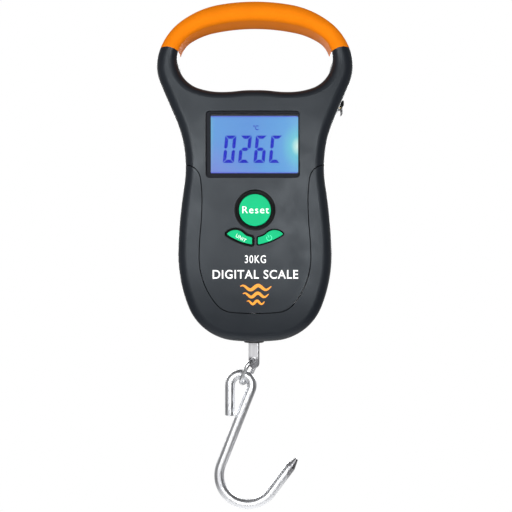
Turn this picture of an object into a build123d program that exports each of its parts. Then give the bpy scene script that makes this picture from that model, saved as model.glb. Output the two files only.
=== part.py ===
from build123d import *
from math import asin, atan2, cos, hypot, radians, sin
import os

# Hand-held digital fish scale: a dark two-shell housing whose upper end is a
# four-finger carrying ring with an orange grip, an LCD and three green keys on
# the front, a pull-out tape measure at the right shoulder, two AAA cells behind
# a rear door, and a steel eye, link and S-hook hung from a bar load cell.
#
# Frame: X to the right and +Z up as the display is read, front facing -Y. The
# origin is the middle of the grip's underside, where the hand carries the load.
# Everything is in millimetres.

os.makedirs("parts", exist_ok=True)

# ---------------------------------------------------------------- dimensions
# Housing outline, right half, as (x, z): tangent arcs over the ring, one
# straight shoulder, then tangent arcs down the flank to the bottom centre.
RING_ARCS = [(0, 9.7), (17.2, 8.35), (36.7, 0.35), (47.6, -14.95), (46.55, -30.6)]
FLANK_ARCS = [(39.05, -47.85), (34.8, -81.15), (37.7, -112.1), (32.7, -140.45)]
BOTTOM_ARCS = [(32.7, -140.45), (10.45, -157.1), (0, -157.6)]
HAND_ARCS = [
    (0, 0), (20.7, -2.2), (32.05, -6.85), (38.25, -19.3), (27.5, -33.15), (17.5, -35), (8.5, -34.6), (0, -34.2),
]
HOUSING_BOTTOM = -157.6

# Crowned front: depth of its centre line at each height, as (y, z), and how far
# the crown falls back at CROWN_HALF_WIDTH from the centre.
FRONT_LINE = [
    (-12, 16), (-12.1, -10), (-13.2, -34), (-14.6, -55), (-15, -90), (-14.6, -130), (-12.5, -152), (-10.5, -164),
]
CROWN_HALF_WIDTH = 60
CROWN_DROP = 5.15
RING_BACK = 12.0
BODY_BACK = 14.8

# Cutting blocks reach past the housing on every side.
BEYOND_X = 60
BEYOND_TOP = 20
BEYOND_BOTTOM = -170
MAX_DEPTH = 24
OUTER_EDGE_R = 5.4
HAND_EDGE_R = 4.0

WALL = 2.2
GRIP_SKIN = 1.5
GRIP_EDGE_Z = -12.6
RING_WALL = 3.4
RING_HOLLOW_DEPTH = 8.0
RING_HOLLOW_BOTTOM = -27.0
CAVITY_TOP = -37.6
SEAM_GAP = 0.45
SEAM_TOP = -70.3
SEAM_ARCS = [
    (33, -71), (26.25, -77.6), (25.5, -88.2), (26.3, -104), (26.9, -116), (18.4, -139), (11.5, -142.6), (0, -143.2),
]
SEAM_HEADING = (-1, -0.12)

# Screws through the rear cover into the front shells, as (x, z).
SHOULDER_SCREWS = [(-38.8, -34), (38.8, -34)]
FLANK_SCREWS = [(-31.6, -104), (31.6, -104), (-21.5, -146.3), (21.5, -146.3)]
TONGUE_SCREWS = [(-14, -118.5), (14, -118.5)]
SCREW_R = 1.3
SCREW_HEAD_R = 2.4
BOSS_R = 3.2
SCREW_TIP = -6.0
SCREW_SEAT = 11.2

# Display, front to back.
WINDOW_CENTRE = (-1.1, -61.2)
WINDOW_SIZE = (45.8, 32.8)
BEZEL_FRONT = -10.9
LCD_CENTRE = (-0.45, -61.0)
LCD_VIEW = (43.1, 28)
LCD_GLASS = (48, 32)
LCD_FRONT = -10.4
LCD_BACK = -7.8
BACKLIGHT_SIZE = (45, 29)
BACKLIGHT_RISE = 1.2
BOARD_FRONT = -5.9
BOARD_BACK = -4.3
BOARD_HALF_WIDTH = 30
BOARD_TOP = -42.5
BOARD_BOTTOM = -113
BOARD_SCREWS = [(-27.6, -46.5), (27.6, -46.5), (-27.6, -67), (27.6, -67), (-20, -108.7), (20, -108.7)]

# Keys: a round one, and below it two leaves, each drawn by three arcs given
# as (x, z) from the round key's centre.
KEY_CENTRE_Z = -93.2
KEY_R = 8.0
KEY_GAP = 0.87
LEAF_INNER = [(1.26, -13.05), (3.5, -12.5), (5.2, -11.5)]
LEAF_CREST = [(5.2, -11.5), (8.1, -9.7), (13.9, -11.7)]
LEAF_OUTER = [(13.9, -11.7), (8.55, -14.7), (1.26, -16.85)]
LEAF_CORNER_R = 0.5
LEAF_GAP = 0.55
LEAF_SWITCH = (7.4, -13.3)
KEY_FRONT = -15.5
KEY_FLANGE_FRONT = -12.2
KEY_BACK = -11.3
KEY_FLANGE = 0.9
KEY_EDGE_R = 0.7
LEAF_EDGE_R = 0.4
PLUNGER_BACK = -8.0
PLUNGER_CLEARANCE = 0.05
PLUNGER_R = 1.7
SWITCH_FRONT = -9.6
SWITCH_SIZE = 6
SWITCH_DEPTH = 3.1
GASKET_CENTRE_Z = -97
GASKET_SIZE = (34.8, 27.5)
GASKET_THICKNESS = 0.6

# Parts on the board's front, as lowest (x, z), highest (x, z) and height.
CHIPS = [((-20, -96), (-12, -88), 1.4), ((-19, -104.5), (-14, -99.5), 1.2), ((13, -104.4), (17.5, -101.4), 1.1)]
BUZZER_CENTRE = (17.3, -93)
BUZZER_R = 5.8
BUZZER_HEIGHT = 3.6
BUZZER_HOLE_R = 0.9

# Batteries lie across the housing behind the keys.
CELL_R = 5.25
CELL_LENGTH = 44.5
CELL_Y = 6.6
CELL_ZS = (-80.3, -91.7)
TRAY_HALF_WIDTH = 26.5
TRAY_TOP = -73.6
TRAY_BOTTOM = -98.4
TRAY_FRONT = 0.3
TRAY_BACK = 10.5
DOOR_HALF_WIDTH = 25.25
DOOR_TOP = -73.45
DOOR_BOTTOM = -98.55
DOOR_GAP = 0.25
DOOR_THICKNESS = 2.0
DOOR_GROOVES = 5
DOOR_TABS_X = (-15, 15)
DOOR_TAB_HALF_WIDTH = 3
DOOR_TAB_FRONT = 11.4
CONTACT_X = TRAY_HALF_WIDTH - 1.5
CONTACT_THICKNESS = 0.4
CONTACT_FRONT = 3.2
SPRING_LENGTH = CONTACT_X - CONTACT_THICKNESS - CELL_LENGTH / 2
SPRING_BASE_R = 3.6
SPRING_TIP_R = 2.4
SPRING_WALL = 0.7

# Load cell: a bar with one end hung from a steel plate, the stem at the other.
STEM_X = -0.5
PLATE_TOP = -125.6
PLATE_BOTTOM = -127.6
PLATE_HALF_LENGTH = 30.5
PLATE_HALF_DEPTH = 8
BEAM_TOP = -129.1
BEAM_BOTTOM = -139.1
BEAM_LEFT = -8.5
BEAM_RIGHT = 26
BEAM_HALF_DEPTH = 6
BEAM_HOLES_X = (6.5, 13.5)
BEAM_HOLE_R = 3
BEAM_SCREWS_X = (18.4, 23.8)
BEAM_MIDDLE_Z = (BEAM_TOP + BEAM_BOTTOM) / 2
GAUGE_THICKNESS = 0.15
GAUGE_CABLE_R = 0.8
GAUGE_CABLE_BEND_R = 1.8
STEM_R = 2.5
WASHER_THICKNESS = 0.8
NUT_HEIGHT = 4
NUT_BOTTOM = BEAM_TOP + WASHER_THICKNESS
NUT_FLATS = 8
COLLAR_R = 5
COLLAR_WAIST_R = 4
COLLAR_LIP = 1.0

# Hook eye, link and S-hook. The eye is turned about the stem, so that the link's
# two limbs pass either side of the S-hook's bar.
EYE_TURN = 62
EYE_PLATE_WIDTH = 5.4
EYE_PLATE_THICKNESS = 2.0
EYE_PLATE_TOP = -158.9
EYE_PLATE_BOTTOM = -171.5
EYE_CENTRE_Z = -167.3
EYE_HOLE_R = 1.6
LINK_WIRE_R = 1.0
LINK_BEND_R = 4.5
LINK_REACH = 13.6
LINK_TILT = 27.3
HOOK_BAR_R = 2.45
HOOK_PLANE_Y = 1.9
HOOK_EYE = (-7.1, -180.3)
HOOK_EYE_R = 5.5
HOOK_BEND = (-3.5, -225.45)
HOOK_BEND_R = 14.5
HOOK_LIMB_END = -195.45
HOOK_LEAVE_ANGLE = -37
HOOK_POINT_RUN = 16.3
HOOK_POINT_LENGTH = 5.0
HOOK_POINT_R = 0.85

# Tape measure behind the display, its blade leaving along +X.
REEL_X = 16
REEL_Z = -52.8
REEL_FLANGE_R = 12.6
REEL_HUB_R = 8.3
REEL_FRONT = -1.5
REEL_BACK = 8.1
REEL_WALL = 0.8
SPRING_OUTER_R = 7.0
SPRING_INNER_R = 2.4
SPRING_FRONT = -0.4
SPRING_BACK = 6.6
COIL_R = 11.3
CASE_R = 14.4
CASE_WALL = 1.0
CASE_LID = 0.8
CASE_FRONT = -2.6
CASE_BACK = 9.4
AXLE_R = 1.5
BLADE_BOTTOM = REEL_Z + COIL_R
BLADE_THICKNESS = 0.22
BLADE_FRONT = 0.0
BLADE_BACK = 6.8
BLADE_MIDDLE = (BLADE_FRONT + BLADE_BACK) / 2
BLADE_TOP = BLADE_BOTTOM + BLADE_THICKNESS
BLADE_END_X = 43.7
END_HOOK_THICKNESS = 0.55
END_HOOK_FOOT = -44.45
RIVETS_X = (40.6, 42.4)
RIVET_R = 0.6
RIVET_HEAD_R = 0.85
RIVET_HEAD_HEIGHT = 0.2
MOUTH_LEFT = 36.5
MOUTH_FACE = 44.2
MOUTH_TOP = -38.2
MOUTH_BOTTOM = -44.0
MOUTH_FRONT = -3.1
MOUTH_BACK = 9.9


# ------------------------------------------------------------ shared profiles
def tangent_chain(points, heading):
    """Arcs through the points, each leaving in the direction the last arrived."""
    for start, end in zip(points, points[1:]):
        arc = TangentArc(start, end, tangent=heading)
        heading = arc % 1
    return heading


def outer_profile():
    """The housing's outline, mirrored about the middle."""
    with BuildLine() as profile:
        tangent_chain(RING_ARCS, (1, 0))
        shoulder = Line(RING_ARCS[-1], FLANK_ARCS[0])
        heading = tangent_chain(FLANK_ARCS, shoulder % 1)
        tangent_chain(BOTTOM_ARCS, heading)
        mirror(about=Plane.YZ)
    make_face(profile.edges())


def hand_profile():
    """The outline of the four-finger opening."""
    with BuildLine() as profile:
        tangent_chain(HAND_ARCS, (1, 0))
        mirror(about=Plane.YZ)
    make_face(profile.edges())


def cover_profile(grow):
    """Where the front cover lies: all above the seam, and the tongue inside it."""
    with BuildLine() as profile:
        Polyline((0, BEYOND_TOP), (BEYOND_X, BEYOND_TOP), (BEYOND_X, SEAM_TOP), SEAM_ARCS[0])
        tangent_chain(SEAM_ARCS, SEAM_HEADING)
        mirror(about=Plane.YZ)
    make_face(profile.edges())
    if grow:
        offset(amount=grow)


def leaf_profile(side, grow):
    """One leaf key, side -1 left or +1 right, about the round key's centre."""
    with BuildLine() as profile:
        for arc in (LEAF_INNER, LEAF_CREST, LEAF_OUTER):
            ThreePointArc(*[(side * x, z) for x, z in arc])
        Line((side * LEAF_OUTER[-1][0], LEAF_OUTER[-1][1]), (side * LEAF_INNER[0][0], LEAF_INNER[0][1]))
    leaf = make_face(profile.edges())
    fillet(leaf.vertices(), LEAF_CORNER_R)
    if grow:
        offset(amount=grow)


def at_depth(y, x=0, z=0):
    """The XZ plane at depth y, facing the front, with its origin at (x, z)."""
    return Plane(origin=(x, y, z), x_dir=(1, 0, 0), z_dir=(0, -1, 0))


def box_between(low, high, mode=Mode.ADD):
    """A box from its lowest to its highest corner."""
    size = [h - l for l, h in zip(low, high)]
    middle = tuple((h + l) / 2 for l, h in zip(low, high))
    with Locations(middle):
        Box(*size, mode=mode)


# --------------------------------------------------------------- whole forms
with BuildPart() as front_block:
    for depth, height in FRONT_LINE:
        with BuildSketch(Plane.XY.offset(height)):
            with BuildLine():
                crown = ThreePointArc(
                    (-CROWN_HALF_WIDTH, depth + CROWN_DROP), (0, depth), (CROWN_HALF_WIDTH, depth + CROWN_DROP)
                )
                Polyline(crown @ 0, (-CROWN_HALF_WIDTH, 30), (CROWN_HALF_WIDTH, 30), crown @ 1)
            make_face()
    loft()

with BuildPart() as back_block:
    with BuildSketch(Plane.YZ):
        with BuildLine():
            ring = Polyline((0, -164), (0, 16), (RING_BACK, 16), (RING_BACK, -24))
            step = TangentArc(ring @ 1, ((RING_BACK + BODY_BACK) / 2, -36), tangent=(0, -1))
            body = TangentArc(step @ 1, (BODY_BACK, -48), tangent=step % 1)
            Polyline(body @ 1, (BODY_BACK, -164), (0, -164))
        make_face()
    extrude(amount=CROWN_HALF_WIDTH, both=True)


def half_form(side, inset):
    """The housing's solid front (side -1) or rear (side 1) half, inset all over."""
    block = front_block.part if side < 0 else back_block.part
    with BuildPart() as form:
        with BuildSketch(Plane.XZ):
            outer_profile()
            if inset:
                offset(amount=-inset)
        extrude(amount=-side * MAX_DEPTH)
        add(block.moved(Location((0, -side * inset, 0))), mode=Mode.INTERSECT)
        rim = form.edges().filter_by(lambda e: side * e.center().Y > 6 and abs((e % 0.5).Y) < 0.9)
        fillet(rim, OUTER_EDGE_R - inset)
        with BuildSketch(Plane.XZ):
            hand_profile()
            if inset:
                offset(amount=inset)
        extrude(amount=-side * MAX_DEPTH, mode=Mode.SUBTRACT)
        lip = form.edges(Select.LAST).filter_by(lambda e: side * e.center().Y > 6)
        fillet(lip, HAND_EDGE_R - inset)
    return form.part


def cavity(side):
    """The hollow inside one half of the body, WALL inside its outer form."""
    block = front_block.part if side < 0 else back_block.part
    with BuildPart() as hollow:
        with BuildSketch(Plane.XZ):
            outer_profile()
            offset(amount=-WALL)
        extrude(amount=-side * MAX_DEPTH)
        add(block.moved(Location((0, -side * WALL, 0))), mode=Mode.INTERSECT)
        rim = hollow.edges().filter_by(lambda e: side * e.center().Y > 6 and abs((e % 0.5).Y) < 0.9)
        fillet(rim, OUTER_EDGE_R - WALL)
        box_between((-BEYOND_X, -MAX_DEPTH, CAVITY_TOP), (BEYOND_X, MAX_DEPTH, BEYOND_TOP), mode=Mode.SUBTRACT)
    return hollow.part


def ring_hollow(side):
    """The channel inside the carrying ring."""
    with BuildPart() as hollow:
        with BuildSketch(Plane.XZ):
            outer_profile()
            offset(amount=-RING_WALL)
        extrude(amount=-side * RING_HOLLOW_DEPTH)
        with BuildSketch(Plane.XZ):
            hand_profile()
            offset(amount=RING_WALL)
        extrude(amount=-side * RING_HOLLOW_DEPTH, mode=Mode.SUBTRACT)
        box_between(
            (-BEYOND_X, -MAX_DEPTH, BEYOND_BOTTOM), (BEYOND_X, MAX_DEPTH, RING_HOLLOW_BOTTOM), mode=Mode.SUBTRACT
        )
    return hollow.part


front_form = half_form(-1, 0)
back_form = half_form(1, 0)
front_core = half_form(-1, GRIP_SKIN)
back_core = half_form(1, GRIP_SKIN)
front_cavity = cavity(-1)
back_cavity = cavity(1)


# ------------------------------------------------------------------- housing
with BuildPart() as grip_zone:
    with BuildSketch(Plane.XZ):
        with BuildLine():
            edge = Polyline(
                (0, BEYOND_TOP), (BEYOND_X, BEYOND_TOP), (BEYOND_X, GRIP_EDGE_Z), (43.5, GRIP_EDGE_Z)
            )
            dip = ThreePointArc(edge @ 1, (39.5, GRIP_EDGE_Z - 1.1), (36, GRIP_EDGE_Z - 3.2))
            Polyline(dip @ 1, (25, GRIP_EDGE_Z - 3.2), (0, -2))
            mirror(about=Plane.YZ)
        make_face()
    extrude(amount=MAX_DEPTH, both=True)

with BuildPart() as grip_front:
    add(front_form)
    add(front_core, mode=Mode.SUBTRACT)
    add(grip_zone.part, mode=Mode.INTERSECT)
grip_front.part.label = "grip_front"
export_step(grip_front.part, "parts/grip_front.step")

with BuildPart() as grip_rear:
    add(back_form)
    add(back_core, mode=Mode.SUBTRACT)
    add(grip_zone.part, mode=Mode.INTERSECT)
grip_rear.part.label = "grip_rear"
export_step(grip_rear.part, "parts/grip_rear.step")


def bore_along_y(centres, radius, y_from, y_to, mode):
    """Round posts or holes along Y at the (x, z) centres."""
    with BuildSketch(at_depth(y_from)) as discs:
        with Locations(*centres):
            Circle(radius)
    extrude(discs.sketch, amount=y_from - y_to, mode=mode)


def housing_cuts():
    """Cuts that both halves share: the tape's mouth and the collar's seat."""
    box_between(
        (MOUTH_LEFT - 0.2, MOUTH_FRONT - 0.2, MOUTH_BOTTOM - 0.2),
        (BEYOND_X, MOUTH_BACK + 0.2, MOUTH_TOP + 0.15),
        mode=Mode.SUBTRACT,
    )
    with Locations((STEM_X, 0, HOUSING_BOTTOM)):
        Cylinder(COLLAR_WAIST_R + 0.1, 12, mode=Mode.SUBTRACT)


def plate_pockets(y_from, y_to):
    """Two moulded pockets that carry the load plate's ends."""
    for low_x, high_x in ((-33.6, -27.5), (27.5, 33.6)):
        box_between((low_x, y_from, PLATE_BOTTOM - 3), (high_x, y_to, PLATE_TOP + 2.6))


with BuildPart() as cover_zone:
    with BuildSketch(Plane.XZ):
        cover_profile(0)
    extrude(amount=MAX_DEPTH)

with BuildPart() as bumper_zone:
    box_between((-BEYOND_X, -MAX_DEPTH, BEYOND_BOTTOM), (BEYOND_X, 0, BEYOND_TOP))
    with BuildSketch(Plane.XZ):
        cover_profile(SEAM_GAP)
    extrude(amount=MAX_DEPTH, mode=Mode.SUBTRACT)

with BuildPart() as front_shell:
    add(front_form)
    add(grip_front.part, mode=Mode.SUBTRACT)
    add(ring_hollow(-1), mode=Mode.SUBTRACT)
    add(front_cavity, mode=Mode.SUBTRACT)

with BuildPart() as front_posts:
    bore_along_y(FLANK_SCREWS + TONGUE_SCREWS, BOSS_R, 0, -MAX_DEPTH, Mode.ADD)
    plate_pockets(-MAX_DEPTH, 0)
    box_between(
        (-PLATE_HALF_LENGTH - 0.1, -PLATE_HALF_DEPTH - 0.1, PLATE_BOTTOM),
        (PLATE_HALF_LENGTH + 0.1, 10, PLATE_TOP + 0.1),
        mode=Mode.SUBTRACT,
    )
    with BuildSketch(at_depth(BOARD_FRONT)):
        with Locations(*BOARD_SCREWS):
            Circle(2.2)
    extrude(amount=MAX_DEPTH)
    add(front_form, mode=Mode.INTERSECT)
    bore_along_y(BOARD_SCREWS, 0.8, BOARD_FRONT, BOARD_FRONT - 4.2, Mode.SUBTRACT)

with BuildPart() as front_cover:
    add(front_shell.part)
    add(front_posts.part)
    add(cover_zone.part, mode=Mode.INTERSECT)
    bore_along_y(SHOULDER_SCREWS + TONGUE_SCREWS, SCREW_R, 0, SCREW_TIP - 0.5, Mode.SUBTRACT)
    with BuildSketch(at_depth(0, *WINDOW_CENTRE)):
        RectangleRounded(*WINDOW_SIZE, 2.0)
    extrude(amount=MAX_DEPTH, mode=Mode.SUBTRACT)
    with BuildSketch(at_depth(0, 0, KEY_CENTRE_Z)):
        Circle(KEY_R + KEY_GAP)
        leaf_profile(-1, LEAF_GAP)
        leaf_profile(1, LEAF_GAP)
    extrude(amount=MAX_DEPTH, mode=Mode.SUBTRACT)
    housing_cuts()
front_cover.part.label = "front_cover"
export_step(front_cover.part, "parts/front_cover.step")

with BuildPart() as lower_bumper:
    add(front_shell.part)
    add(front_posts.part)
    add(bumper_zone.part, mode=Mode.INTERSECT)
    bore_along_y(FLANK_SCREWS, SCREW_R, 0, SCREW_TIP - 0.5, Mode.SUBTRACT)
    housing_cuts()
lower_bumper.part.label = "lower_bumper"
export_step(lower_bumper.part, "parts/lower_bumper.step")

with BuildPart() as rear_posts:
    bore_along_y(FLANK_SCREWS + TONGUE_SCREWS, BOSS_R, 0, BODY_BACK, Mode.ADD)
    plate_pockets(0, BODY_BACK)
    box_between(
        (-PLATE_HALF_LENGTH - 0.1, -10, PLATE_BOTTOM),
        (PLATE_HALF_LENGTH + 0.1, PLATE_HALF_DEPTH + 0.1, PLATE_TOP + 0.1),
        mode=Mode.SUBTRACT,
    )
    add(back_form, mode=Mode.INTERSECT)

with BuildPart() as rear_cover:
    add(back_form)
    add(grip_rear.part, mode=Mode.SUBTRACT)
    add(ring_hollow(1), mode=Mode.SUBTRACT)
    add(back_cavity, mode=Mode.SUBTRACT)
    add(rear_posts.part)
    all_screws = SHOULDER_SCREWS + FLANK_SCREWS + TONGUE_SCREWS
    bore_along_y(all_screws, SCREW_R + 0.15, 0, BODY_BACK, Mode.SUBTRACT)
    bore_along_y(all_screws, SCREW_HEAD_R + 0.25, SCREW_SEAT, BODY_BACK + 1, Mode.SUBTRACT)
    box_between(
        (-DOOR_HALF_WIDTH - DOOR_GAP, BODY_BACK - WALL - 1, DOOR_BOTTOM - DOOR_GAP),
        (DOOR_HALF_WIDTH + DOOR_GAP, BODY_BACK + 1, DOOR_TOP + DOOR_GAP),
        mode=Mode.SUBTRACT,
    )
    housing_cuts()
rear_cover.part.label = "rear_cover"
export_step(rear_cover.part, "parts/rear_cover.step")

# Pan-head thread-forming screws, driven from the rear.
with BuildPart() as housing_screws:
    bore_along_y(all_screws, SCREW_R, SCREW_TIP, SCREW_SEAT, Mode.ADD)
    bore_along_y(all_screws, SCREW_HEAD_R, SCREW_SEAT, SCREW_SEAT + 1.6, Mode.ADD)
    rims = housing_screws.edges().filter_by(lambda e: abs(e.center().Y - SCREW_SEAT - 1.6) < 0.01)
    fillet(rims, 0.6)
    with BuildSketch(at_depth(SCREW_SEAT + 0.7)):
        with Locations(*all_screws):
            Rectangle(2.6, 0.7)
            Rectangle(0.7, 2.6)
    extrude(amount=-2, mode=Mode.SUBTRACT)
housing_screws.part.label = "housing_screws"
export_step(housing_screws.part, "parts/housing_screws.step")


# ------------------------------------------------------------------- display
with BuildPart() as window_lens:
    with BuildSketch(at_depth(BEZEL_FRONT, *WINDOW_CENTRE)):
        RectangleRounded(WINDOW_SIZE[0] - 0.4, WINDOW_SIZE[1] - 0.4, 1.8)
    extrude(amount=1.3)
    chamfer(window_lens.faces().sort_by(Axis.Y)[0].edges(), 0.2)
window_lens.part.label = "window_lens"
export_step(window_lens.part, "parts/window_lens.step")

with BuildPart() as window_bezel:
    with BuildSketch(at_depth(LCD_FRONT, *WINDOW_CENTRE)):
        RectangleRounded(WINDOW_SIZE[0] + 2.6, WINDOW_SIZE[1] + 2, 3.5)
    extrude(amount=LCD_FRONT - BEZEL_FRONT)
    with BuildSketch(at_depth(BEZEL_FRONT + 1, *LCD_CENTRE)):
        RectangleRounded(*LCD_VIEW, 0.8)
    extrude(amount=2, mode=Mode.SUBTRACT)
window_bezel.part.label = "window_bezel"
export_step(window_bezel.part, "parts/window_bezel.step")

with BuildPart() as lcd_panel:
    with BuildSketch(at_depth(LCD_BACK, *LCD_CENTRE)):
        Rectangle(*LCD_GLASS)
    extrude(amount=LCD_BACK - LCD_FRONT)
    chamfer(lcd_panel.edges().filter_by(Axis.Y), 0.5)
lcd_panel.part.label = "lcd_panel"
export_step(lcd_panel.part, "parts/lcd_panel.step")

with BuildPart() as lcd_backlight:
    with BuildSketch(at_depth(BOARD_FRONT, LCD_CENTRE[0], LCD_CENTRE[1] + BACKLIGHT_RISE)):
        RectangleRounded(*BACKLIGHT_SIZE, 1)
    extrude(amount=LCD_BACK - BOARD_FRONT, dir=(0, 1, 0))
lcd_backlight.part.label = "lcd_backlight"
export_step(lcd_backlight.part, "parts/lcd_backlight.step")

with BuildPart() as backlight_led:
    box_between((22.3, LCD_BACK, -61.8), (24.3, BOARD_FRONT, -58.2))
    chamfer(backlight_led.edges().filter_by(Axis.Y), 0.3)
backlight_led.part.label = "backlight_led"
export_step(backlight_led.part, "parts/backlight_led.step")

with BuildPart() as zebra_strip:
    box_between((-22, LCD_BACK, -76.8), (21, BOARD_FRONT, -74.8))
    fillet(zebra_strip.edges().filter_by(Axis.X), 0.3)
zebra_strip.part.label = "zebra_strip"
export_step(zebra_strip.part, "parts/zebra_strip.step")

# --------------------------------------------------------------------- board
with BuildPart() as main_pcb:
    with BuildSketch(at_depth(BOARD_BACK)):
        with BuildLine():
            Polyline(
                (0, BOARD_TOP), (BOARD_HALF_WIDTH, BOARD_TOP), (BOARD_HALF_WIDTH, -70), (24, -76),
                (24, BOARD_BOTTOM + 1), (23, BOARD_BOTTOM), (0, BOARD_BOTTOM),
            )
            mirror(about=Plane.YZ)
        make_face()
        with Locations(*BOARD_SCREWS):
            Circle(1.0, mode=Mode.SUBTRACT)
    extrude(amount=BOARD_BACK - BOARD_FRONT)
main_pcb.part.label = "main_pcb"
export_step(main_pcb.part, "parts/main_pcb.step")

with BuildPart() as circuit_chips:
    for low, high, height in CHIPS:
        box_between((low[0], BOARD_FRONT - height, low[1]), (high[0], BOARD_FRONT, high[1]))
    chamfer(circuit_chips.faces().sort_by(Axis.Y)[0:3].edges(), 0.15)
circuit_chips.part.label = "circuit_chips"
export_step(circuit_chips.part, "parts/circuit_chips.step")

with BuildPart() as piezo_buzzer:
    with BuildSketch(at_depth(BOARD_FRONT, *BUZZER_CENTRE)):
        Circle(BUZZER_R)
    extrude(amount=BUZZER_HEIGHT)
    fillet(piezo_buzzer.edges().sort_by(Axis.Y)[0], 0.4)
    with BuildSketch(at_depth(BOARD_FRONT - BUZZER_HEIGHT, *BUZZER_CENTRE)):
        Circle(BUZZER_HOLE_R)
    extrude(amount=-BUZZER_HEIGHT / 2, mode=Mode.SUBTRACT)
piezo_buzzer.part.label = "piezo_buzzer"
export_step(piezo_buzzer.part, "parts/piezo_buzzer.step")

with BuildPart() as pcb_screws:
    bore_along_y(BOARD_SCREWS, 0.8, BOARD_FRONT - 3.4, BOARD_BACK, Mode.ADD)
    bore_along_y(BOARD_SCREWS, 1.7, BOARD_BACK, BOARD_BACK + 1.1, Mode.ADD)
    rims = pcb_screws.edges().filter_by(lambda e: abs(e.center().Y - BOARD_BACK - 1.1) < 0.01)
    fillet(rims, 0.4)
    with BuildSketch(at_depth(BOARD_BACK + 0.6)):
        with Locations(*BOARD_SCREWS):
            Rectangle(1.7, 0.45)
            Rectangle(0.45, 1.7)
    extrude(amount=-1, mode=Mode.SUBTRACT)
pcb_screws.part.label = "pcb_screws"
export_step(pcb_screws.part, "parts/pcb_screws.step")

# ---------------------------------------------------------------------- keys
# Each key is a cap with a flange behind the cover; it pushes its own plunger
# into a sprung switch on the board.
SWITCHES = [
    ("reset", 0, KEY_CENTRE_Z),
    ("unit", -LEAF_SWITCH[0], KEY_CENTRE_Z + LEAF_SWITCH[1]),
    ("power", LEAF_SWITCH[0], KEY_CENTRE_Z + LEAF_SWITCH[1]),
]

with BuildPart() as reset_button:
    with BuildSketch(at_depth(KEY_BACK, 0, KEY_CENTRE_Z)):
        Circle(KEY_R)
    extrude(amount=KEY_BACK - KEY_FRONT)
    fillet(reset_button.edges().sort_by(Axis.Y)[0], KEY_EDGE_R)
    with BuildSketch(at_depth(KEY_BACK, 0, KEY_CENTRE_Z)):
        Circle(KEY_R + KEY_FLANGE)
    extrude(amount=KEY_BACK - KEY_FLANGE_FRONT)
reset_button.part.label = "reset_button"
export_step(reset_button.part, "parts/reset_button.step")

for key, side in (("unit", -1), ("power", 1)):
    with BuildPart() as leaf_button:
        with BuildSketch(at_depth(KEY_BACK, 0, KEY_CENTRE_Z)):
            leaf_profile(side, 0)
        extrude(amount=KEY_BACK - KEY_FRONT)
        fillet(leaf_button.faces().sort_by(Axis.Y)[0].edges(), LEAF_EDGE_R)
        with BuildSketch(at_depth(KEY_BACK, 0, KEY_CENTRE_Z)):
            leaf_profile(side, KEY_FLANGE)
        extrude(amount=KEY_BACK - KEY_FLANGE_FRONT)
    leaf_button.part.label = key + "_button"
    export_step(leaf_button.part, "parts/" + key + "_button.step")

for key, x, z in SWITCHES:
    with BuildPart() as plunger:
        with BuildSketch(at_depth(PLUNGER_BACK, x, z)):
            Circle(PLUNGER_R)
        extrude(amount=PLUNGER_BACK - KEY_BACK)
        chamfer(plunger.edges().sort_by(Axis.Y)[-1], 0.2)
    plunger.part.label = key + "_plunger"
    export_step(plunger.part, "parts/" + key + "_plunger.step")

with BuildPart() as tact_switches:
    for key, x, z in SWITCHES:
        with BuildSketch(at_depth(BOARD_FRONT, x, z)):
            RectangleRounded(SWITCH_SIZE, SWITCH_SIZE, 0.5)
        extrude(amount=BOARD_FRONT - SWITCH_FRONT)
        with BuildSketch(at_depth(SWITCH_FRONT, x, z)):
            Circle(PLUNGER_R + PLUNGER_CLEARANCE)
        extrude(amount=-SWITCH_DEPTH, mode=Mode.SUBTRACT)
tact_switches.part.label = "tact_switches"
export_step(tact_switches.part, "parts/tact_switches.step")

with BuildPart() as key_gasket:
    with BuildSketch(at_depth(SWITCH_FRONT, 0, GASKET_CENTRE_Z)):
        RectangleRounded(*GASKET_SIZE, 3)
    extrude(amount=GASKET_THICKNESS)
    for key, x, z in SWITCHES:
        with BuildSketch(at_depth(SWITCH_FRONT, x, z)):
            Circle(PLUNGER_R + 0.4)
        extrude(amount=1, mode=Mode.SUBTRACT)
    with BuildSketch(at_depth(SWITCH_FRONT, *BUZZER_CENTRE)):
        Circle(BUZZER_R + 0.4)
    extrude(amount=1, mode=Mode.SUBTRACT)
key_gasket.part.label = "key_gasket"
export_step(key_gasket.part, "parts/key_gasket.step")

# ----------------------------------------------------------------- batteries
with BuildPart() as battery_tray:
    box_between((-TRAY_HALF_WIDTH, TRAY_FRONT, TRAY_BOTTOM), (TRAY_HALF_WIDTH, TRAY_BACK, TRAY_TOP))
    fillet(battery_tray.edges().filter_by(Axis.Y), 1)
    for z in CELL_ZS:
        with Locations(Location((0, CELL_Y, z), (0, 90, 0))):
            Cylinder(CELL_R + 0.2, 2 * TRAY_HALF_WIDTH - 3, mode=Mode.SUBTRACT)
    box_between(
        (1.5 - TRAY_HALF_WIDTH, CELL_Y, TRAY_BOTTOM + 1.2),
        (TRAY_HALF_WIDTH - 1.5, TRAY_BACK + 1, TRAY_TOP - 1.2),
        mode=Mode.SUBTRACT,
    )
    for side in (-1, 1):
        outer_x = side * CONTACT_X
        inner_x = side * (CONTACT_X - CONTACT_THICKNESS)
        box_between(
            (min(inner_x, outer_x), CONTACT_FRONT, CELL_ZS[1] - 4.5),
            (max(inner_x, outer_x), TRAY_BACK + 1, CELL_ZS[0] + 4.5),
            mode=Mode.SUBTRACT,
        )
battery_tray.part.label = "battery_tray"
export_step(battery_tray.part, "parts/battery_tray.step")

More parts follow.
